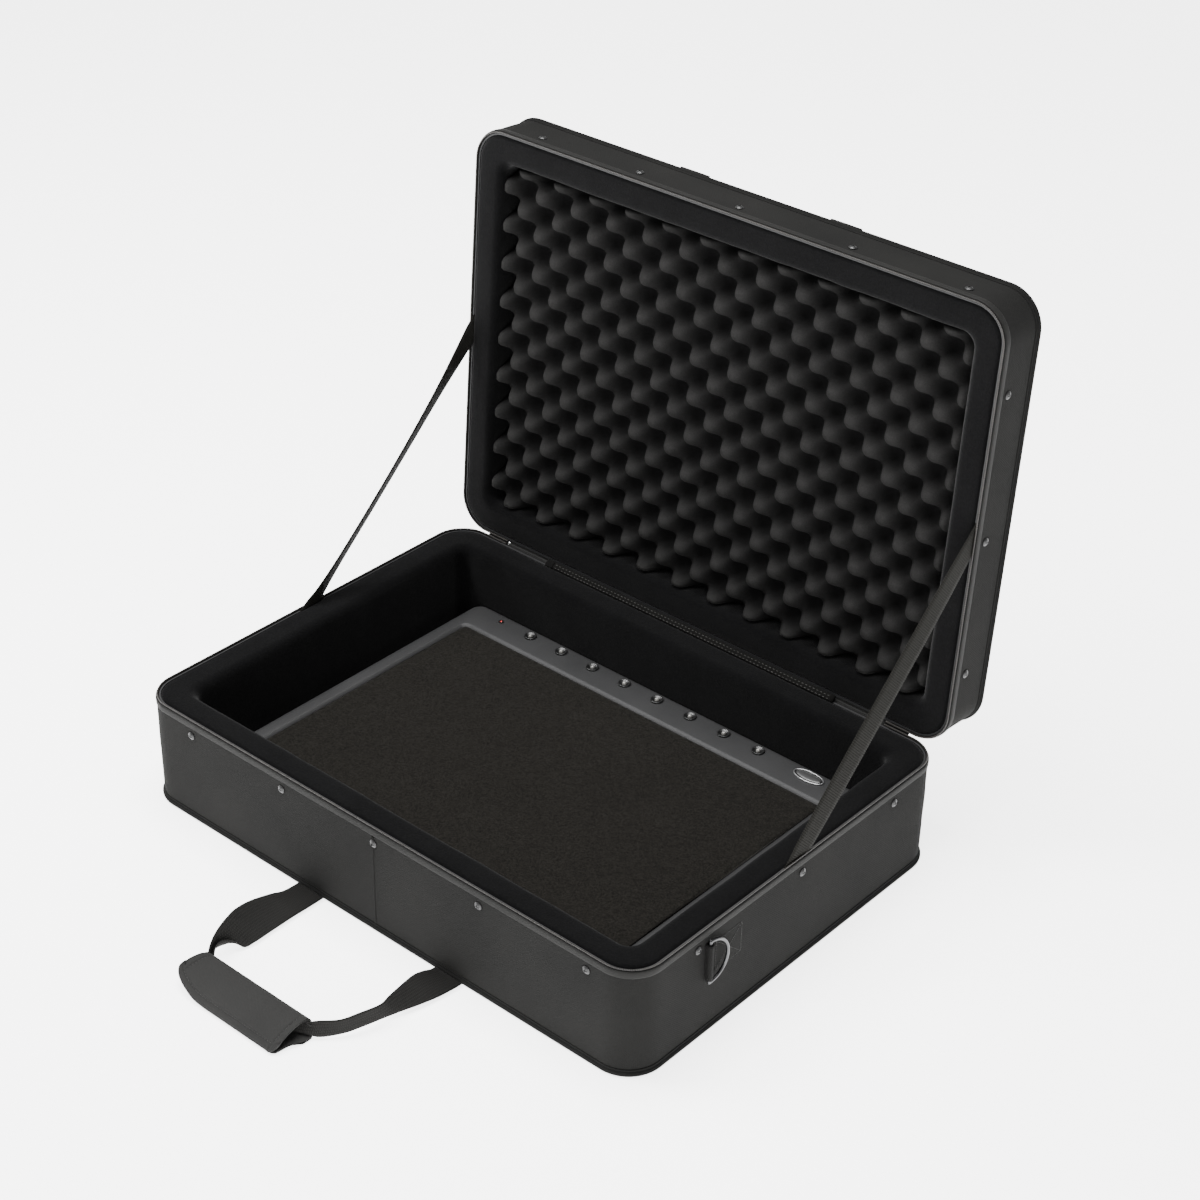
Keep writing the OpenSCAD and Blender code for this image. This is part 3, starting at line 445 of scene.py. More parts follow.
def soft_pile(name, dark, light, size, depth, drift, sheen, painted_cup_shade=False, cloud=0.3):
    """Plush, foam or carpet: only fibres. The foam also takes painted shade: its tone falls from the peaks
    into the cups by the height that the lay's UVs carry.
    """
    m, w, shader = finish_of(name, 1.0, Sheen_Weight=sheen, Sheen_Roughness=0.45, Specular_IOR_Level=0.03)
    fibre = group_node(w, FIBRE, Size=size, Drift=drift)
    fine = group_node(w, FIBRE, Size=size * 0.35, Drift=drift * 0.4)
    tone = w.math("ADD", w.math("MULTIPLY_ADD", fibre.outputs["Fleck"], 0.8, 0.4),
                  w.math("MULTIPLY_ADD", fine.outputs["Fleck"], 0.6,
                         w.math("MULTIPLY", fibre.outputs["Tone"], cloud)), clamp=True)
    # painted shade: the tone is darkened towards the cups by height, standing in for the shade that falls in
    # them
    if painted_cup_shade:
        lay = w.node("ShaderNodeSeparateXYZ")
        w.put(lay.inputs[0], w.node("ShaderNodeTexCoord").outputs["UV"])
        unshaded_share = w.math("POWER", lay.outputs[0], 1.6)
        tone = w.math("MULTIPLY", w.math("MULTIPLY_ADD", tone, 0.5, 0.5), unshaded_share)
    w.put(shader.inputs["Base Color"], w.mix(tone, dark, light))
    height = w.math("ADD", fibre.outputs["Fleck"], w.math("MULTIPLY", fine.outputs["Fleck"], 0.6))
    bump(w, shader, height, depth)
    return m


def moulded(name, dark, light, rough, depth=0.00012, grain=0.0011, metallic=0.0, **fixed):
    """Moulded plastic, paint, rubber or metal: fine grain in tone, roughness and height."""
    m, w, shader = finish_of(name, rough, Metallic=metallic, **fixed)
    fibre = group_node(w, FIBRE, Size=grain, Drift=0.05)
    fleck = fibre.outputs["Fleck"]
    speckle = w.math("MULTIPLY_ADD", fleck, 0.4, 0.5)
    tone = w.math("MULTIPLY_ADD", fibre.outputs["Tone"], 0.8, speckle, clamp=True)
    w.put(shader.inputs["Base Color"], w.mix(tone, dark, light))
    w.put(shader.inputs["Roughness"], w.math("MULTIPLY_ADD", fleck, 0.12, rough, clamp=True))
    bump(w, shader, fleck, depth)
    return m


NYLON = woven_cloth("charcoal_nylon", (0.0062, 0.0062, 0.0060), (0.0118, 0.0116, 0.0109))
PIPING = woven_cloth("piping_cloth", (0.0052, 0.0052, 0.0051), (0.0095, 0.0094, 0.0089), pitch=0.001)
HEM = woven_cloth("hem_band", (0.0085, 0.0085, 0.0081), (0.0148, 0.0145, 0.0137), pitch=0.0009,
                  depth=0.00012, rough=0.6)
TAPE = woven_cloth("zipper_tape", (0.0022, 0.0022, 0.0022), (0.0050, 0.0048, 0.0044), pitch=0.0008)
TEETH = moulded("zipper_teeth", (0.010, 0.009, 0.008), (0.022, 0.019, 0.016), 0.5)
PLUSH = soft_pile("black_plush", (0.0014, 0.0014, 0.0015), (0.0044, 0.0044, 0.0046), size=0.0022,
                  depth=0.0002, drift=0.05, sheen=0.06)
# the foam's cups take painted shade from its height, so its dark colour is the shaded cup and its light one
# the peak
FOAM = soft_pile("crate_foam", (0.0045, 0.0045, 0.0045), (0.0220, 0.0217, 0.0212), size=0.0016,
                 depth=0.0003, drift=0.05, sheen=0.0, painted_cup_shade=True)
PILE = soft_pile("board_pile", (0.0016, 0.0015, 0.0012), (0.0190, 0.0176, 0.0152), size=0.0021,
                 depth=0.0005, drift=0.07, sheen=0.03, cloud=0.05)
STRAP = ribbed_band("handle_webbing", (0.0058, 0.0058, 0.0055), (0.0160, 0.0156, 0.0148))
STAY = ribbed_band("stay_webbing", (0.0030, 0.0030, 0.0026), (0.0135, 0.0131, 0.0116), rib=0.0025,
                   column=0.2, depth=0.0005)
TAB = ribbed_band("tab_webbing", (0.0030, 0.0030, 0.0029), (0.0100, 0.0098, 0.0093))
WRAP = woven_cloth("grip_cloth", (0.0175, 0.0175, 0.0172), (0.0290, 0.0286, 0.0275), pitch=0.001, rough=0.8)
HINGE_CLOTH = woven_cloth("hinge_cloth", (0.014, 0.014, 0.0137), (0.024, 0.024, 0.0233), pitch=0.0011)
FACING = woven_cloth("facing_cloth", (0.0026, 0.0025, 0.0023), (0.0056, 0.0054, 0.0050), pitch=0.0012)
THREAD = moulded("thread", (0.016, 0.016, 0.0155), (0.030, 0.0295, 0.0280), 0.6, depth=0.00004)
BRIGHT_THREAD = moulded("bright_thread", (0.018, 0.0175, 0.016), (0.040, 0.039, 0.036), 0.6,
                        depth=0.00004)
SCREW = moulded("blackened_screw", (0.012, 0.012, 0.012), (0.028, 0.028, 0.028), 0.36, metallic=0.4)
WIRE = moulded("ring_wire", (0.036, 0.036, 0.037), (0.075, 0.075, 0.077), 0.3, metallic=1.0,
               depth=0.00003)
SLIDER = moulded("slider_metal", (0.020, 0.020, 0.020), (0.045, 0.045, 0.045), 0.38, metallic=0.7)
DECK = moulded("board_plastic", (0.0155, 0.0155, 0.0158), (0.0215, 0.0215, 0.0219), 0.5, depth=0.0001,
               grain=0.0009, Specular_IOR_Level=0.25)
JACK = moulded("jack_plastic", (0.004, 0.004, 0.004), (0.010, 0.010, 0.010), 0.3)
PIN = moulded("jack_pin", (0.16, 0.157, 0.15), (0.24, 0.235, 0.22), 0.42, metallic=0.5, depth=0.00001)
LAMP = moulded("lamp_red", (0.50, 0.01, 0.008), (0.62, 0.02, 0.015), 0.2, Transmission_Weight=0.2)
PLATE_FACE = moulded("plate_face", (0.06, 0.06, 0.06), (0.11, 0.11, 0.11), 0.42, metallic=0.8,
                     depth=0.00006)
PLATE = moulded("plate_metal", (0.26, 0.26, 0.265), (0.36, 0.36, 0.365), 0.36, metallic=0.9,
                depth=0.00003)
RUBBER = moulded("foot_rubber", (0.012, 0.012, 0.012), (0.022, 0.022, 0.022), 0.85)
CIRCUIT = moulded("circuit_board", (0.01, 0.05, 0.02), (0.02, 0.08, 0.03), 0.45)
SHEET = moulded("stiff_sheet", (0.006, 0.006, 0.0065), (0.012, 0.012, 0.0125), 0.6)


# ---- the two cloth trays ----

DIMPLE_REACH = 0.0085


def screw_dimple(p, height):
    """How far the cloth is drawn in beside the wall screws."""
    z = height - SCREW_DROP
    spots = [(x, side * CASE_D / 2, z) for side in (-1, 1) for x in LONG_SCREWS]
    spots += [(side * CASE_W / 2, y, z) for side in (-1, 1) for y in SHORT_SCREWS]
    return max(math.exp(-((Vector(p) - Vector(spot)).length / DIMPLE_REACH) ** 2) for spot in spots)


def cloth_tray(name, node, height, place, body, seed):
    """The woven outer shell: flat panel, upright walls a little slack between their seams, turned rim."""
    low, high = 0.009, height - 0.009
    steps = round((high - low) / 0.0065)
    stations = [(0.18, 0.0003), (0.09, 0.0002), (0.03, 0.0002), (0.006, 0.0003), (0.0012, 0.0012),
                (0.0002, 0.004)]
    stations += [(0.0, low + (high - low) * i / steps) for i in range(steps + 1)]
    stations += [(0.0, height - 0.004), (0.0002, height - 0.0008), (0.0007, height),
                 (0.0013, height - 0.0006), (0.0015, height - 0.006), (0.0015, height - 0.02)]
    rows = []
    for inset, z in stations:
        row = []
        for p in tray_ring(inset, z, max(CORNER_R - inset, 0.004), along=0.0085, arc=10):
            p = Vector(p)
            if low < z < high and inset == 0.0:
                free = math.sin(math.pi * (z - low) / (high - low))
                corner = 1 - min(1, abs(abs(p.x) - CASE_W / 2) / 0.07 + abs(abs(p.y) - CASE_D / 2) / 0.07)
                slack = 0.00035 * ripple(p, 0.11, seed) + 0.0002 * ripple(p, 0.035, seed + 3)
                slack += 0.0006 * corner * ripple((p.x, p.y, p.z * 3.2), 0.05, seed + 7)
                p += outward(p) * (free * (0.0003 + slack) - 0.0007 * screw_dimple(p, height))
            row.append(place(p))
        rows.append(row)
    verts, faces = skin_rows(rows, around=True)
    faces.append(tuple(range(len(rows[0]) - 1, -1, -1)))
    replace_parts(make_piece(name, verts, faces, NYLON, body), node)


def edge_piping(name, node, place, body):
    """The rolled seam round the closed end: a round roll with a sewn flange above it."""
    profile = [(-0.0008, 0.0001), (0.0008, 0.0003), (0.0019, 0.0014), (0.0024, 0.0030), (0.0023, 0.0046),
               (0.0016, 0.0058), (0.0007, 0.0064), (0.0006, 0.0068), (0.0010, 0.0074), (0.0009, 0.0086),
               (0.0003, 0.0092), (-0.0008, 0.0092)]
    verts, faces = tray_sweep(profile, place, arc=12)
    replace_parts(make_piece(name, verts, faces, PIPING, body), node)


def rim_hem(name, node, height, place, body):
    """The satin hem band that binds the rim, standing just proud of the wall."""
    profile = [(-0.0006, height - 0.0081), (0.0004, height - 0.0081), (0.0008, height - 0.0072),
               (0.0009, height - 0.0050), (0.0010, height - 0.0026), (0.0008, height - 0.0008),
               (0.0003, height - 0.0001), (-0.0004, height), (-0.0006, height - 0.0012)]
    verts, faces = tray_sweep(profile, place, arc=12)
    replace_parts(make_piece(name, verts, faces, HEM, body), node)


def open_side(p):
    """True where the zipper runs, which is everywhere but behind the hinge web."""
    return not (p[1] > CASE_D / 2 - 0.008 and abs(p[0]) < WEB_HALF + 0.002)


# a zipper tooth's corners as shares of its size, across the tape, along it and upward
TOOTH = [(-0.9, -0.42, -0.75), (-0.9, 0.42, -0.75), (-0.55, 0.5, 0.55), (0.55, 0.5, 0.55), (0.95, 0.42, -0.2),
         (0.95, -0.42, -0.2), (0.55, -0.5, 0.55), (-0.55, -0.5, 0.55)]
TOOTH_FACES = [(0, 1, 2, 7), (7, 2, 3, 6), (6, 3, 4, 5), (5, 4, 1, 0), (0, 7, 6, 5), (1, 4, 3, 2)]
TOOTH_SIZE, TOOTH_PITCH = 0.00098, 0.0021


def zipper_half(name, node, height, place, body):
    """Tape on the rim and a coil of fine teeth along it."""
    profile = [(-0.0002, height + 0.0001), (-0.0003, height + 0.0008), (-0.0015, height + 0.00085),
               (-0.0026, height + 0.0008), (-0.0027, height + 0.0001)]
    verts, faces = tray_sweep(profile, place, kept=open_side)
    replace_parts(make_piece(name + "_tape", verts, faces, TAPE, body), node)
    inset = 0.00118
    ring = tray_ring(inset, height + 0.0015, CORNER_R - inset, along=0.004, arc=16)
    verts, faces, due, walked = [], [], 0.0, 0.0
    for p0, p1 in zip(ring, ring[1:] + ring[:1]):
        a, b = Vector(p0), Vector(p1)
        seg = (b - a).length
        go = (b - a).normalized()
        across = Vector((-go.y, go.x, 0))
        while due < walked + seg:
            mid = a.lerp(b, (due - walked) / seg)
            if open_side(mid):
                base = len(verts)
                verts += [place(mid - across * (TOOTH_SIZE * u) + go * (TOOTH_PITCH * 0.9 * v)
                                + UP * (TOOTH_SIZE * h)) for u, v, h in TOOTH]
                faces += [tuple(base + i for i in f) for f in TOOTH_FACES]
            due += TOOTH_PITCH
        walked += seg
    make_piece(name + "_teeth", verts, faces, TEETH, body)


def plush_wall(name, node, height, place, body, seed):
    """Foam wall in plush: upright, with a soft rolled edge that dips and swells a little."""
    top, outer_r, inner_r = height + CROWN, 0.0042, 0.0098
    stations = [(LINER_OUT, FLOOR_TOP + 0.0005), (LINER_OUT, top - 0.02), (LINER_OUT, top - outer_r)]
    stations += [(LINER_OUT + outer_r * (1 - math.cos(a)), top - outer_r * (1 - math.sin(a)))
                 for a in map(math.radians, (18, 36, 54, 72, 90))]
    stations += [(LINER_OUT + outer_r + 0.0195 * t, top + 0.0003 * math.sin(math.pi * t))
                 for t in (0.33, 0.66, 1)]
    stations += [(LINER_IN - inner_r * (1 - math.sin(a)), top - inner_r * (1 - math.cos(a)))
                 for a in map(math.radians, (15, 30, 45, 60, 75, 90))]
    depth = top - inner_r - FLOOR_TOP
    stations += [(LINER_IN, top - inner_r - depth * t) for t in (0.1, 0.22, 0.36, 0.5, 0.64, 0.78, 0.9, 0.99)]
    rows = []
    for inset, z in stations:
        share = (inset - LINER_OUT) / (LINER_IN - LINER_OUT)
        radius = (CORNER_R - LINER_OUT) + (LINER_R - CORNER_R + LINER_OUT) * share
        row = []
        for p in tray_ring(inset, z, radius, along=0.0095):
            p = Vector(p)
            if share > 0.2:
                soft = 0.0009 * ripple(p, 0.06, seed) + 0.0004 * ripple(p, 0.02, seed + 5)
                p -= outward(p * 1.3) * soft * share
                if z > top - 0.012:
                    p.z += 0.0006 * ripple(p, 0.045, seed + 9) - 0.0004
            row.append(place(p))
        rows.append(row)
    verts, faces = skin_rows(rows, around=True, closed=True)
    piece = make_piece(name, verts, faces, PLUSH, body)
    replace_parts(piece, node)


def floor_pad():
    """Thin plush pad on the tray floor, its edge rolled under."""
    top, low, edge = 0.0171, 0.0053, 0.0384
    stations = [(edge + 0.0006, low), (edge, low + 0.003), (edge, top - 0.003), (edge + 0.0008, top - 0.0008),
                (0.041, top), (0.055, top), (0.09, top), (0.15, top), (0.2, top)]
    rows = []
    for inset, z in stations:
        row = []
        for p in tray_ring(inset, z, max(0.0148 - (inset - edge) * 0.4, 0.002), along=0.02, arc=6):
            lift = 0.0005 * ripple(p, 0.05, 41) - 0.0004 if z == top else 0
            row.append((p[0], p[1], z + lift))
        rows.append(row)
    verts, faces = tube(rows)
    piece = make_piece("floor_plush", verts, faces, PLUSH, "base_tray")
    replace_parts(piece, "base_floor_pad")


def crate_panel():
    """Egg-crate foam: rounded peaks and cups in staggered rows, cut square at its edges."""
    wide, deep = CASE_W - 2 * LINER_IN - 0.006, CASE_D - 2 * LINER_IN - 0.006
    columns, lines, fine = 24, 18, 6
    back, low, relief = FLOOR_TOP + 0.0003, FLOOR_TOP + 0.028, 0.026
    nx, ny = columns * fine, lines * fine
    rows, heights = [], []
    for j in range(ny + 1):
        row = []
        for i in range(nx + 1):
            x, y = wide * (i / nx - 0.5), deep * (j / ny - 0.5)
            spot = (x, y, 0)
            wave = -math.cos(math.pi * i / fine) * math.cos(math.pi * j / fine)
            wave = math.sin(math.pi / 2 * wave)
            lump = 1 + 0.06 * ripple(spot, 0.03, 51)
            if 0 < i < nx and 0 < j < ny:
                x += 0.0012 * ripple(spot, 0.05, 53)
                y += 0.0012 * ripple(spot, 0.05, 57)
            row.append((x, y, min(low + relief * (0.5 + 0.5 * wave * lump), low + relief * 0.985)))
            # the height share also goes to the UVs, where the foam material paints shade into the cups by it
            heights.append((0.5 + 0.5 * wave, 0))
        rows.append(row)
    verts, faces = skin_rows(rows)
    rim, foot = grid_rim(nx, ny), len(verts)
    n = len(rim)
    verts += [(verts[k][0], verts[k][1], back) for k in rim]
    # the cut sides and back take a fixed, darker share of that painted shade
    heights += [(0.3, 0)] * n
    faces += [(rim[(k + 1) % n], rim[k], foot + k, foot + (k + 1) % n) for k in range(n)]
    faces.append(tuple(foot + k for k in range(n - 1, -1, -1)))
    piece = make_piece("crate_panel", map(onto_lid, verts), faces, FOAM, "lid_tray", heights)
    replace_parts(piece, "lid_egg_foam")


# ---- hinge and stays ----

def extrude_x(profile, x0, x1, steps, seed):
    """A profile of (y, z) drawn along x, a little uneven as sewn cloth is."""
    uneven = 0.0002

    def shifted(x, y, z):
        p = (x, y, z)
        return (x, y + uneven * ripple(p, 0.03, seed), z + uneven * ripple(p, 0.04, seed + 2))

    xs = [x0 + (x1 - x0) * k / steps for k in range(steps + 1)]
    return tube([[shifted(x, y, z) for y, z in profile] for x in xs])


def hinge_cloth():
    """The web that joins the rims behind, seen as a pale line through the gap."""
    y0, lean = HINGE_Y + 0.0010, math.tan(LID_ANGLE - math.pi / 2)
    z1 = HINGE_Z - 0.0010
    outer = [(y0 + 0.0009, BASE_H - 0.0128), (y0 + 0.001, BASE_H - 0.004), (y0 + 0.0012, z1 - 0.0018),
             (HINGE_Y + 0.0052, z1 - 0.0012), (HINGE_Y + 0.0155, z1 - 0.001 - 0.0135 * lean)]
    inner = [(HINGE_Y + 0.0155, z1 - 0.0135 * lean), (HINGE_Y + 0.0040, z1 - 0.0003),
             (y0 + 0.0006, z1 - 0.0002), (y0 + 0.0001, z1 - 0.0008), (y0, BASE_H - 0.004),
             (y0 + 0.0001, BASE_H - 0.0128)]
    verts, faces = extrude_x(outer + inner, -WEB_HALF, WEB_HALF, 90, 61)
    piece = make_piece("hinge_cloth", verts, faces, HINGE_CLOTH)
    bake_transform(piece)
    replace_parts(piece, "hinge_web")


def hinge_roll():
    """Rolled facing in the inside corner with two rows of stitches, a short sleeve at its left end and the
    zipper's tape ends past the web."""
    y0, z0 = HINGE_Y + 0.0006, BASE_H + 0.0003
    roll = [(0, 0), (0.0002, 0.0058), (-0.0009, 0.0064), (-0.0022, 0.0056), (-0.0036, 0.0044),
            (-0.0050, 0.0031), (-0.0062, 0.0018), (-0.0064, 0.0006), (-0.0056, 0)]
    sleeve = [(y * 1.16, z * 1.1) for y, z in roll]
    strip = [(-0.0018, -0.0001), (-0.0003, -0.0001), (0.0022, 0.0024), (0.0023, 0.0040), (0.0014, 0.0038),
             (0.0004, 0.0020)]
    for name, shape, x0, x1, steps, material, slot in (
            ("hinge_roll", roll, -0.1985, 0.2085, 80, FACING, "edge_piping"),
            ("hinge_sleeve", sleeve, -0.2085, -0.1975, 6, TAPE, "edge_piping"),
            ("zipper_end_left", strip, -0.3050, -0.2740, 8, TAPE, "zipper"),
            ("zipper_end_right", strip, 0.2740, 0.3050, 8, TAPE, "zipper")):
        verts, faces = extrude_x([(y0 + y, z0 + z) for y, z in shape], x0, x1, steps, 67)
        piece = make_piece(name, verts, faces, material)
        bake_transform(piece)
        if slot == "edge_piping":
            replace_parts(piece, "hinge_facing")
    up = Vector((0, -0.66, 0.75))
    for k, (dy, dz) in enumerate(((-0.0030, 0.0050), (-0.0057, 0.0025))):
        path = [((x / 1000, y0 + dy, z0 + dz), up) for x in range(-196, 205, 5)]
        row = stitch_run(f"hinge_stitches_{k + 1}", path, 0.005, BRIGHT_THREAD, None,
                         width=0.0010, rise=0.0005)
        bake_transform(row)


def lid_stay(name, node, side):
    """Webbing stay between the two walls. Its upper edge leans in, and its outer one stays in the skin."""
    slope = (math.pi - LID_ANGLE) / 2
    go = Vector((0, math.cos(slope), math.sin(slope)))
    flat = Vector((0, -math.sin(slope), math.cos(slope)))
    foot = Vector((side * 0.3464, 0, BASE_H))
    opened = LID_ANGLE + 2 * math.atan(RIM_GAP / CASE_D)
    reach = 2 * math.hypot(HINGE_Y, RIM_GAP / 2) * math.sin(opened / 2)
    twist, bow = (11, 0.0003) if side > 0 else (27, -0.0034)
    plan = [(-0.036, 0), (-0.004, 0.15), (0.018, 0.7), (0.06, 1), (0.14, 1.05), (0.22, 0.98), (0.29, 0.75),
            (reach - 0.022, 0.25), (reach + 0.002, 0), (reach + 0.036, 0)]
    stations = []
    for d, turn in plan:
        x, y, z = foot + go * d
        x += side * bow * math.sin(math.pi * min(max(d / reach, 0), 1))
        stations.append((x, y, z, side * twist * turn))
    piece = band(name, stations, band_section(0.025, 0.0014), STAY, count=84, lean=flat)
    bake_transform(piece)
    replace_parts(piece, node)


# ---- handles ----

def front_handle():
    """Two webbing arms that turn on edge at the corners, and the padded wrap folded over their middle."""
    left = [(-0.109, -0.2506, 0.0026, -0.090, -0.2506, 0.0026, -0.071, -0.2506, 0.0026),
            (-0.109, -0.271, 0.0041, -0.090, -0.271, 0.0034, -0.071, -0.271, 0.0027),
            (-0.1090, -0.290, 0.0110, -0.090, -0.291, 0.0062, -0.0712, -0.292, 0.0030),
            (-0.1062, -0.320, 0.0215, -0.0885, -0.321, 0.0115, -0.0704, -0.322, 0.0032),
            (-0.0995, -0.345, 0.0295, -0.0850, -0.346, 0.0155, -0.0700, -0.346, 0.0030),
            (-0.0945, -0.361, 0.0305, -0.0835, -0.3600, 0.0140, -0.0730, -0.3585, 0.0022),
            (-0.0910, -0.373, 0.0290, -0.0855, -0.3715, 0.0110, -0.0795, -0.3680, 0.0135),
            (-0.0870, -0.385, 0.0255, -0.0860, -0.3815, 0.0110, -0.0820, -0.3790, 0.0185),
            (-0.0815, -0.396, 0.0205, -0.0835, -0.3900, 0.0120, -0.0800, -0.3890, 0.0180),
            (-0.0760, -0.403, 0.0150, -0.0775, -0.3985, 0.0090, -0.0730, -0.3975, 0.0130),
            (-0.0700, -0.412, 0.0110, -0.0690, -0.4060, 0.0080, -0.0650, -0.4030, 0.0090)]
    right = [(0.129, -0.2506, 0.0026, 0.110, -0.2506, 0.0026, 0.091, -0.2506, 0.0026),
             (0.1287, -0.257, 0.0027, 0.1096, -0.257, 0.0029, 0.0905, -0.257, 0.0034),
             (0.1278, -0.266, 0.0029, 0.1090, -0.266, 0.0050, 0.0900, -0.266, 0.0070),
             (0.1258, -0.281, 0.0032, 0.1080, -0.281, 0.0084, 0.0908, -0.281, 0.0114),
             (0.1215, -0.302, 0.0046, 0.1090, -0.304, 0.0118, 0.0975, -0.306, 0.0172),
             (0.1160, -0.320, 0.0050, 0.1090, -0.323, 0.0135, 0.1025, -0.325, 0.0205),
             (0.1100, -0.339, 0.0050, 0.1085, -0.3405, 0.0140, 0.1070, -0.342, 0.0225),
             (0.1030, -0.362, 0.0045, 0.1020, -0.3630, 0.0135, 0.1010, -0.364, 0.0225),
             (0.0950, -0.380, 0.0030, 0.0940, -0.3805, 0.0120, 0.0925, -0.382, 0.0205),
             (0.0815, -0.399, 0.0025, 0.0790, -0.3980, 0.0110, 0.0765, -0.3965, 0.0190),
             (0.0700, -0.407, 0.0050, 0.0680, -0.4060, 0.0105, 0.0650, -0.4045, 0.0150),
             (0.0540, -0.415, 0.0050, 0.0530, -0.4130, 0.0090, 0.0510, -0.4110, 0.0120)]
    for name, rails in (("front_arm_left", left), ("front_arm_right", right)):
        arm = railed_band(name, rails, 0.0018, STRAP, "front_handle")
        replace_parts(arm, "base_handle_webbing")
    grip_wrap(x0=-0.080, x1=0.066, spine=-0.3945)


def grip_wrap(x0, x1, spine):
    """A padded cloth folded over the webbing: fold at the back, high top face, edges meeting low at the
    front. The ends are open; the left front corner is cut round and stands up a little."""
    width, fold_r, seam = 0.0525, 0.0095, 0.0068

    def corner(near, radius, share):
        if near >= radius:
            return 0.0
        return share * (radius - math.sqrt(max(radius ** 2 - (radius - near) ** 2, 0)))

    def front_of(x):
        return width - corner(x - x0, 0.036, 0.5) - corner(x1 - x, 0.007, 0.8)

    def lifted(x):
        return 0.0100 * max(0.0, 1 - (x - x0) / 0.048) ** 2

    def leaning(x, d):
        """The left end slants outward towards the front."""
        return x - 0.15 * d * max(0.0, 1 - (x - x0) / 0.02)

    def sheet(x, d):
        """Height of the top face at d forward of the fold."""
        top = 0.0186 + 0.0005 * ripple((x, 0, 0), 0.03, 71)
        if d < fold_r:
            return top - fold_r + math.sqrt(max(fold_r ** 2 - (fold_r - d) ** 2, 0))
        fall = 0.0140 * ((d - fold_r) / (width - fold_r)) ** 2
        groove = max(math.exp(-((d - front_of(x) + seam) / 0.0011) ** 2),
                     math.exp(-((x - x0 - seam) / 0.0010) ** 2), math.exp(-((x1 - x - seam) / 0.0010) ** 2))
        return top - fall - 0.0011 * groove + lifted(x) * (d / width) ** 1.3

    near = [0, 0.0004, 0.0012, 0.0025, 0.004, 0.0052, 0.006, 0.0068, 0.0076, 0.0086, 0.010, 0.0125, 0.016]
    middle = [0.020 + (x1 - x0 - 0.040) * k / 26 for k in range(27)]
    rows = []
    for x in [x0 + n for n in near + middle] + [x1 - n for n in near[::-1]]:
        front = front_of(x)
        tip = sheet(x, front)
        pad = 0.0028 * (1 - 0.35 * math.exp(-(min(x - x0, x1 - x) / 0.003) ** 2))
        outer = [(front * f, sheet(x, front * f))
                 for f in (0, 0.015, 0.05, 0.1, 0.16, 0.24, 0.34, 0.44, 0.54, 0.64, 0.72, 0.79)]
        outer += [(front - g, sheet(x, front - g))
                  for g in (0.0090, 0.0078, 0.0068, 0.0058, 0.0046, 0.0030, 0.0014)]
        outer += [(front - 0.0002, tip - 0.0003), (front, tip - 0.0013), (front - 0.0004, tip - pad + 0.0004)]
        inner = [(front - 0.003, tip - pad + 0.0002)]
        inner += [(front * f, sheet(x, front * f) - pad - 0.0002) for f in (0.8, 0.62, 0.44, 0.28)]
        below = front - 1.2 * lifted(x) - 0.0006
        lower = [(0.0095, 0.0155), (0.0048, 0.0135), (0.0030, 0.0095), (0.0046, 0.0052), (0.0095, 0.0031)]
        lower += [(below * f, 0.0029) for f in (0.3, 0.5, 0.7, 0.85)]
        lower += [(below - 0.003, 0.0028), (below - 0.0006, 0.0026), (below, 0.0016), (below - 0.001, 0.0005)]
        lower += [(below * f, 0.0002) for f in (0.85, 0.65, 0.45, 0.3)]
        lower += [(0.0095, 0.0003), (0.0045, 0.0016), (0.0012, 0.0050)]
        # the lower layer stands out past the upper one at the right end
        past = 0.0095 * max(0.0, 1 - (x1 - x) / 0.022)
        line = [(leaning(x, d), d, z) for d, z in outer + inner]
        line += [(leaning(x, d) + past * math.exp(-((d - 0.015) / 0.013) ** 4), d, z) for d, z in lower]
        rows.append([(px, spine - d, z + 0.0002 * ripple((x, d, z), 0.012, 73)) for px, d, z in line])
    verts, faces = tube(rows)
    piece = make_piece("grip_wrap", verts, faces, WRAP, "front_handle")
    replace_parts(piece, "base_handle_grip")
    up = Vector((0, -0.28, 0.96))
    front_xs = [x0 + seam + (x1 - x0 - 2 * seam) * k / 60 for k in range(61)]
    runs = {"front": [(x, front_of(x) - seam) for x in front_xs],
            "left": [(x0 + seam, 0.008 + 0.024 * k / 20) for k in range(21)],
            "right": [(x1 - seam, 0.008 + 0.036 * k / 20) for k in range(21)]}
    for name, marks in runs.items():
        path = [((leaning(x, d), spine - d, sheet(x, d) + 0.0003), up) for x, d in marks]
        stitch_run(f"grip_stitches_{name}", path, 0.0036, THREAD, "front_handle")


def seam_ends(name, node, place, body, fold):
    """Sewn ends of the handle webbing, from inside the seam to where the arms bend."""
    section = [(-STRAP_HALF, -0.0007), (STRAP_HALF, -0.0007), (STRAP_HALF, 0.0007), (-STRAP_HALF, 0.0007)]
    straight = [(-0.190, SEAM_Z), (-0.23, SEAM_Z), (-0.2486, SEAM_Z)]
    if fold:
        tail = [(-0.2493, 0.0022), (-0.2497, 0.0012), (-0.2497, 0.0001)]
    else:
        tail = [(-0.24985, SEAM_Z)]
    for k, side in enumerate((-1, 1)):
        x = HANDLE_X + side * ARM_OUT
        stations = [Vector((x, y, z)) for y, z in straight + tail]
        rows, uvs, run = [], [], 0.0
        for p, before, after in zip(stations, stations[:1] + stations, stations[1:] + stations[-1:]):
            up = (after - before).normalized().cross(Vector((1, 0, 0)))
            run += (p - before).length
            rows.append([place(p + Vector((a, 0, 0)) + up * b) for a, b in section])
            uvs += [(a, run) for a, _ in section]
        verts, faces = tube(rows)
        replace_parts(make_piece(f"{name}_{k + 1}", verts, faces, STRAP, body, uvs), node)


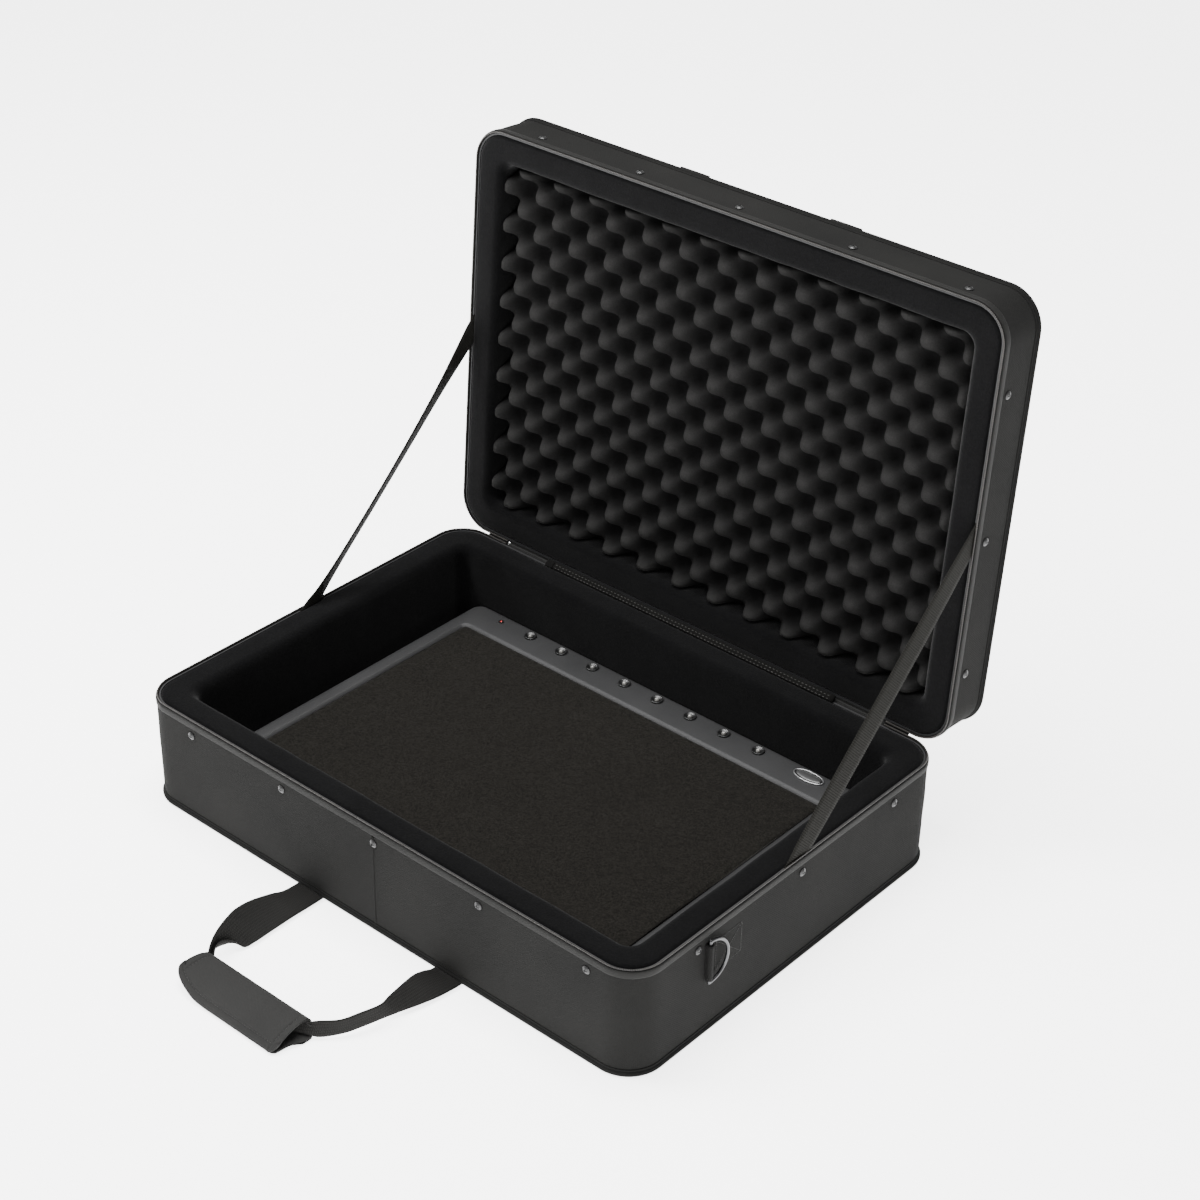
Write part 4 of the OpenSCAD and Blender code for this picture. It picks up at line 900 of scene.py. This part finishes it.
def top_handle():
    """The second loop, hanging behind the standing lid."""
    w, r = ARM_OUT, 0.170
    half = [(w, -0.0012, -0.0006, 0), (w, -r * 0.18, 0.0006, 2), (w, -r * 0.35, 0.002, 5),
            (w - 0.002, -r * 0.62, 0.006, 20), (w - 0.020, -r * 0.88, 0.009, 30), (w * 0.42, -r, 0.007, 15)]
    loop = [(-x, y, z, a) for x, y, z, a in half] + [(0, -r * 1.01, 0.006, 10)] + half[::-1]
    section = [(-STRAP_HALF, 0), (-0.0186, 0.0007), (0, 0.0009), (0.0186, 0.0007), (STRAP_HALF, 0),
               (0.0186, -0.0007), (0, -0.0009), (-0.0186, -0.0007)]
    pivot = Vector((HANDLE_X, 0.34648, 0.62552))

    def hung(p):
        """Drawn lying forward like the front loop: forward becomes down, and up away from the lid."""
        return pivot + Vector((p.x, p.z, p.y))

    piece = band("top_loop", loop, section, STRAP, "top_handle", count=110, place=hung)
    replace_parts(piece, "lid_handle_webbing")


def ring_loop(name, node, side):
    """Folded webbing round the ring's bar, both layers sewn to the wall."""
    cx, cy, z0, z1 = side * 0.3540, -0.1415, 0.0700, 0.1130
    wall, levels = side * (CASE_W / 2 - 0.0002), 14

    def round_bar(radius, *degrees):
        return [(cx + side * radius * math.cos(a), cy + radius * math.sin(a))
                for a in map(math.radians, degrees)]

    loop = [(wall, cy + 0.0026), (side * 0.3516, cy + 0.0030)]
    loop += round_bar(0.0037, 130, 100, 70, 40, 10, -20, -50, -80, -110, -130)
    loop += [(side * 0.3516, cy - 0.0030), (wall, cy - 0.0026)]
    loop += [(wall, cy - 0.0009), (side * 0.3520, cy - 0.0012)]
    loop += round_bar(0.0021, -130, -80, -30, 30, 80, 130)
    loop += [(side * 0.3520, cy + 0.0012), (wall, cy + 0.0009)]
    rows, uvs = [], []
    for k in range(levels + 1):
        z = z0 + (z1 - z0) * k / levels
        run = 0.0
        for p, before in zip(loop, loop[:1] + loop):
            run += math.dist(p, before)
            uvs.append((z - z0, run))
        rows.append([(x, y, z) for x, y in loop])
    verts, faces = tube(rows)
    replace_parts(make_piece(name, verts, faces, TAB, "base_tray", uvs), node)
    # crossed box of stitches that holds the webbing's hidden end
    x = side * (CASE_W / 2 + 0.0004)
    a, b, c, d = (x, -0.128, 0.0712), (x, -0.0885, 0.0712), (x, -0.0885, 0.1072), (x, -0.128, 0.1072)
    out = Vector((side, 0, 0))
    for k, (p, q) in enumerate(((a, b), (b, c), (c, d), (d, a), (a, c), (b, d))):
        stitch_run(f"{name}_stitches_{k + 1}", [(p, out), (q, out)], 0.0032, THREAD,
                   "base_tray")


def front_seam():
    """The join of the outer cloth: a welt up the middle of the front."""
    low, high, steps = Vector((0.0045, -CASE_D / 2, 0.0095)), Vector((0.0045, -CASE_D / 2, 0.121)), 24
    # the welt's section as (across, out of the wall)
    section = [(-0.0016, -0.0002), (-0.0008, 0.00075), (0, 0.00085), (0.0009, 0.0003), (0.0012, -0.0002)]
    rows = [[low.lerp(high, k / steps) + Vector((a, -b, 0)) for a, b in section] for k in range(steps + 1)]
    verts, faces = tube(rows)
    make_piece("front_seam", verts, faces, NYLON, "base_tray")


# ---- the board ----

def carpet():
    """Low tufted pile laid in the deck's pocket."""
    half_x, half_y, cy, top, radius = 0.2608, 0.1688, -0.0085, 0.0649, 0.007
    nx, ny = 172, 112
    rows = []
    for j in range(ny + 1):
        row = []
        for i in range(nx + 1):
            x, y = half_x * (2 * i / nx - 1), half_y * (2 * j / ny - 1)
            dx, dy = max(abs(x) - (half_x - radius), 0), max(abs(y) - (half_y - radius), 0)
            if math.hypot(dx, dy) > radius:
                f = radius / math.hypot(dx, dy)
                x = math.copysign(half_x - radius + dx * f, x)
                y = math.copysign(half_y - radius + dy * f, y)
            y += cy
            z = top - 0.0024
            if 0 < i < nx and 0 < j < ny:
                tufts = 0.0003 * ripple((x, y, 0), 0.0065, 81) + 0.0004 * ripple((x, y, 0), 0.03, 83)
                z = top - 0.0009 + tufts
            row.append((x, y, z))
        rows.append(row)
    verts, faces = skin_rows(rows)
    faces.append(tuple(reversed(grid_rim(nx, ny))))
    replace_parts(make_piece("board_pile", verts, faces, PILE, "pedal_board"), "board_carpet")


def deck_shell():
    """The moulded deck: rounded outer edge, flat border and a soft bevel down to the carpet pocket."""
    outer = [(0.0040, 0.0215), (0.0004, 0.0214), (0.0, 0.0222), (0.0, 0.0480), (0.0, 0.0588),
             (0.0005, 0.0606), (0.0015, 0.0622), (0.0030, 0.0637), (0.0044, 0.0647), (0.0058, 0.06515),
             (0.0075, DECK_Z)]
    inner = [(0.0046, DECK_Z), (0.0038, 0.06515), (0.0026, 0.0645), (0.0014, 0.0635), (0.0005, 0.0628),
             (0.0001, 0.0620), (-0.0040, 0.0616)]
    rows = [oblong(0.283 - i, 0.2035 - i, max(0.016 - i, 0.004), z, 0.004) for i, z in outer]
    rows += [oblong(0.261 + o, 0.169 + o, 0.007 + o, z, -0.0085) for o, z in inner]
    verts, faces = tube(rows)
    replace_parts(make_piece("deck_shell", verts, faces, DECK, "pedal_board"), "board_deck")


def jack_tops():
    """Round-edged collars of the power jacks and the bright domed contact in each mouth."""
    collar = [(0.0028, -0.0138), (0.0028, 0.0001), (0.0036, 0.0003), (0.0048, 0.0008), (0.0060, 0.0016),
              (0.0067, 0.0021), (0.0072, 0.0020), (0.0075, 0.0013), (0.0075, -0.0004), (0.0054, -0.0006),
              (0.0054, -0.0138)]
    dome = [(0.0012, -0.0140), (0.0012, -0.0035), (0.0024, -0.0028), (0.0026, 0.0008), (0.0024, 0.0019),
            (0.0018, 0.0028), (0.0010, 0.0033), (0.0001, 0.0034)]
    for name, profile, material, slot, node in (
            ("jack_collars", collar, JACK, "jack_plastic", ("board_jack_nuts", "board_jacks")),
            ("jack_domes", dome, PIN, "jack_pin", ("board_jack_pins",))):
        verts, faces = [], []
        for x in JACK_XS:
            v, f = turned(profile, (x, JACK_Y, DECK_Z))
            faces += [tuple(i + len(verts) for i in face) for face in f]
            verts += v
        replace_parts(make_piece(name, verts, faces, material, "pedal_board"), *node)


def name_plate():
    """Blank oval plate: thin bright rim, dark channel inside it and a plain satin middle."""
    cx, cy, half_x, half_y = 0.2215, 0.1905, 0.0195, 0.0092
    turns = [2 * math.pi * k / 72 for k in range(72)]
    # each part's section, as (inset, height)
    rim = [(0, 0), (0, 0.0012), (0.0004, 0.0016), (0.0011, 0.0016), (0.0015, 0.0012), (0.0015, 0)]
    channel = [(0.0013, 0.0001), (0.0013, 0.0007), (0.0038, 0.0007), (0.0038, 0.0001)]
    middle = [(0.0034, 0.0001), (0.0034, 0.0009), (0.0040, 0.0013), (0.0060, 0.0015), (0.0088, 0.0016)]
    for name, section, material in (("plate_rim", rim, PLATE), ("plate_channel", channel, JACK),
                                    ("plate_middle", middle, PLATE_FACE)):
        rows = [[(cx + (half_x - i) * math.cos(t), cy + (half_y - i) * math.sin(t), DECK_Z + h)
                 for t in turns] for i, h in section]
        if name == "plate_middle":
            verts, faces = tube(rows)
        else:
            verts, faces = skin_rows(rows, around=True, closed=True)
        piece = make_piece(name, verts, faces, material, "pedal_board")
        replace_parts(piece, "board_name_plate")


# ---- nodes shown as they come from the solids ----

CAD_FINISHES = [
    (SCREW, ("base_screws", "lid_screws", "board_cover_screws")),
    (SHEET, ("base_wall_sheet", "lid_wall_sheet", "base_floor_board", "lid_top_board")),
    (WIRE, ("ring_left", "ring_right")),
    (SLIDER, ("slider_left", "slider_right", "pull_left", "pull_right")),
    (DECK, ("board_bottom_cover",)),
    (RUBBER, ("board_feet",)),
    (CIRCUIT, ("board_circuit",)),
    (LAMP, ("board_lamp",)),
    (JACK, ("board_lamp_bezel",)),
]


def dress_cad_nodes():
    for material, nodes in CAD_FINISHES:
        for node in nodes:
            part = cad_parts[node]
            part.data.materials.clear()
            part.data.materials.append(material)


# ---- camera, floor and light ----

def set_camera():
    """The photo's view, turned a little about its own axis."""
    camera = bpy.data.cameras.new("view")
    camera.lens, camera.sensor_width = 75.46, 36.0
    camera.clip_end = 50
    eye = bpy.data.objects.new("view", camera)
    bpy.context.scene.collection.objects.link(eye)
    azimuth, height, roll = (math.radians(a) for a in (40.72, 32.16, 1.13))
    distance, aim = 2.5236, Vector((0.0823, 0, 0.3173))
    level = Vector((math.sin(azimuth), -math.cos(azimuth), 0))
    back = level * math.cos(height) + UP * math.sin(height)
    x = UP.cross(back).normalized()
    y = back.cross(x)
    right = x * math.cos(roll) + y * math.sin(roll)
    up = y * math.cos(roll) - x * math.sin(roll)
    place = aim + back * distance + right * 0.00195 + up * 0.00133
    eye.matrix_world = Matrix((
        (right.x, up.x, back.x, place.x), (right.y, up.y, back.y, place.y),
        (right.z, up.z, back.z, place.z), (0, 0, 0, 1)))
    bpy.context.scene.camera = eye


def lay_floor():
    """A wide pale floor, just under the case, that glows enough to look white."""
    half, z = 30.0, -0.0006
    mesh = bpy.data.meshes.new("floor")
    corners = [(-half, -half, z), (half, -half, z), (half, half, z), (-half, half, z)]
    mesh.from_pydata(corners, [], [(0, 1, 2, 3)])
    floor = bpy.data.objects.new("floor", mesh)
    bpy.context.scene.collection.objects.link(floor)
    material, _, shader = finish_of("pale_floor", 0.9, Specular_IOR_Level=0.1)
    shader.inputs["Base Color"].default_value = (0.93, 0.93, 0.93, 1)
    shader.inputs["Emission Color"].default_value = (1, 1, 1, 1)
    shader.inputs["Emission Strength"].default_value = 3.6
    floor.data.materials.append(material)


def set_light():
    """An even white world and three square lamps."""
    world = bpy.data.worlds.new("studio")
    bpy.context.scene.world = world
    world.use_nodes = True
    world.node_tree.nodes["Background"].inputs["Color"].default_value = (1, 1, 1, 1)
    world.node_tree.nodes["Background"].inputs["Strength"].default_value = 0.55
    for name, where, aim, size, power in (
            ("key", (-1.5, -1.1, 2.4), (0, 0, 0.1), 1.0, 90),
            ("fill", (1.3, -1.6, 0.35), (0.2, -0.1, 0.05), 0.8, 20),
            ("top", (-0.2, 0.0, 3.0), (0, 0, 0.1), 1.6, 170)):
        lamp = bpy.data.lights.new(name, "AREA")
        lamp.size, lamp.energy = size, power
        holder = bpy.data.objects.new(name, lamp)
        bpy.context.scene.collection.objects.link(holder)
        holder.location = where
        holder.rotation_euler = (Vector(where) - Vector(aim)).to_track_quat("Z", "Y").to_euler()


set_camera()
lay_floor()
set_light()
dress_cad_nodes()
for tray, height, place, body, seed in (
        ("base", BASE_H, stay_put, "base_tray", 5),
        ("lid", LID_H, onto_lid, "lid_tray", 17)):
    cloth_tray(f"{tray}_cloth", f"{tray}_skin", height, place, body, seed)
    edge_piping(f"{tray}_rolled_edge", f"{tray}_piping", place, body)
    rim_hem(f"{tray}_hem", f"{tray}_rim_binding", height, place, body)
    zipper_half(f"{tray}_zipper_half", f"{tray}_zipper", height, place, body)
    seam_ends(f"{tray}_seam_end", f"handle_anchors_{tray}", place, body, tray == "lid")
plush_wall("base_plush_wall", "base_foam_liner", BASE_H, stay_put, "base_tray", 23)
plush_wall("lid_plush_wall", "lid_foam_frame", LID_H, onto_lid, "lid_tray", 29)
floor_pad()
crate_panel()
hinge_cloth()
hinge_roll()
lid_stay("stay_band_left", "stay_left", -1)
lid_stay("stay_band_right", "stay_right", 1)
front_handle()
top_handle()
ring_loop("ring_loop_left", "ring_tab_left", -1)
ring_loop("ring_loop_right", "ring_tab_right", 1)
front_seam()
carpet()
deck_shell()
jack_tops()
name_plate()
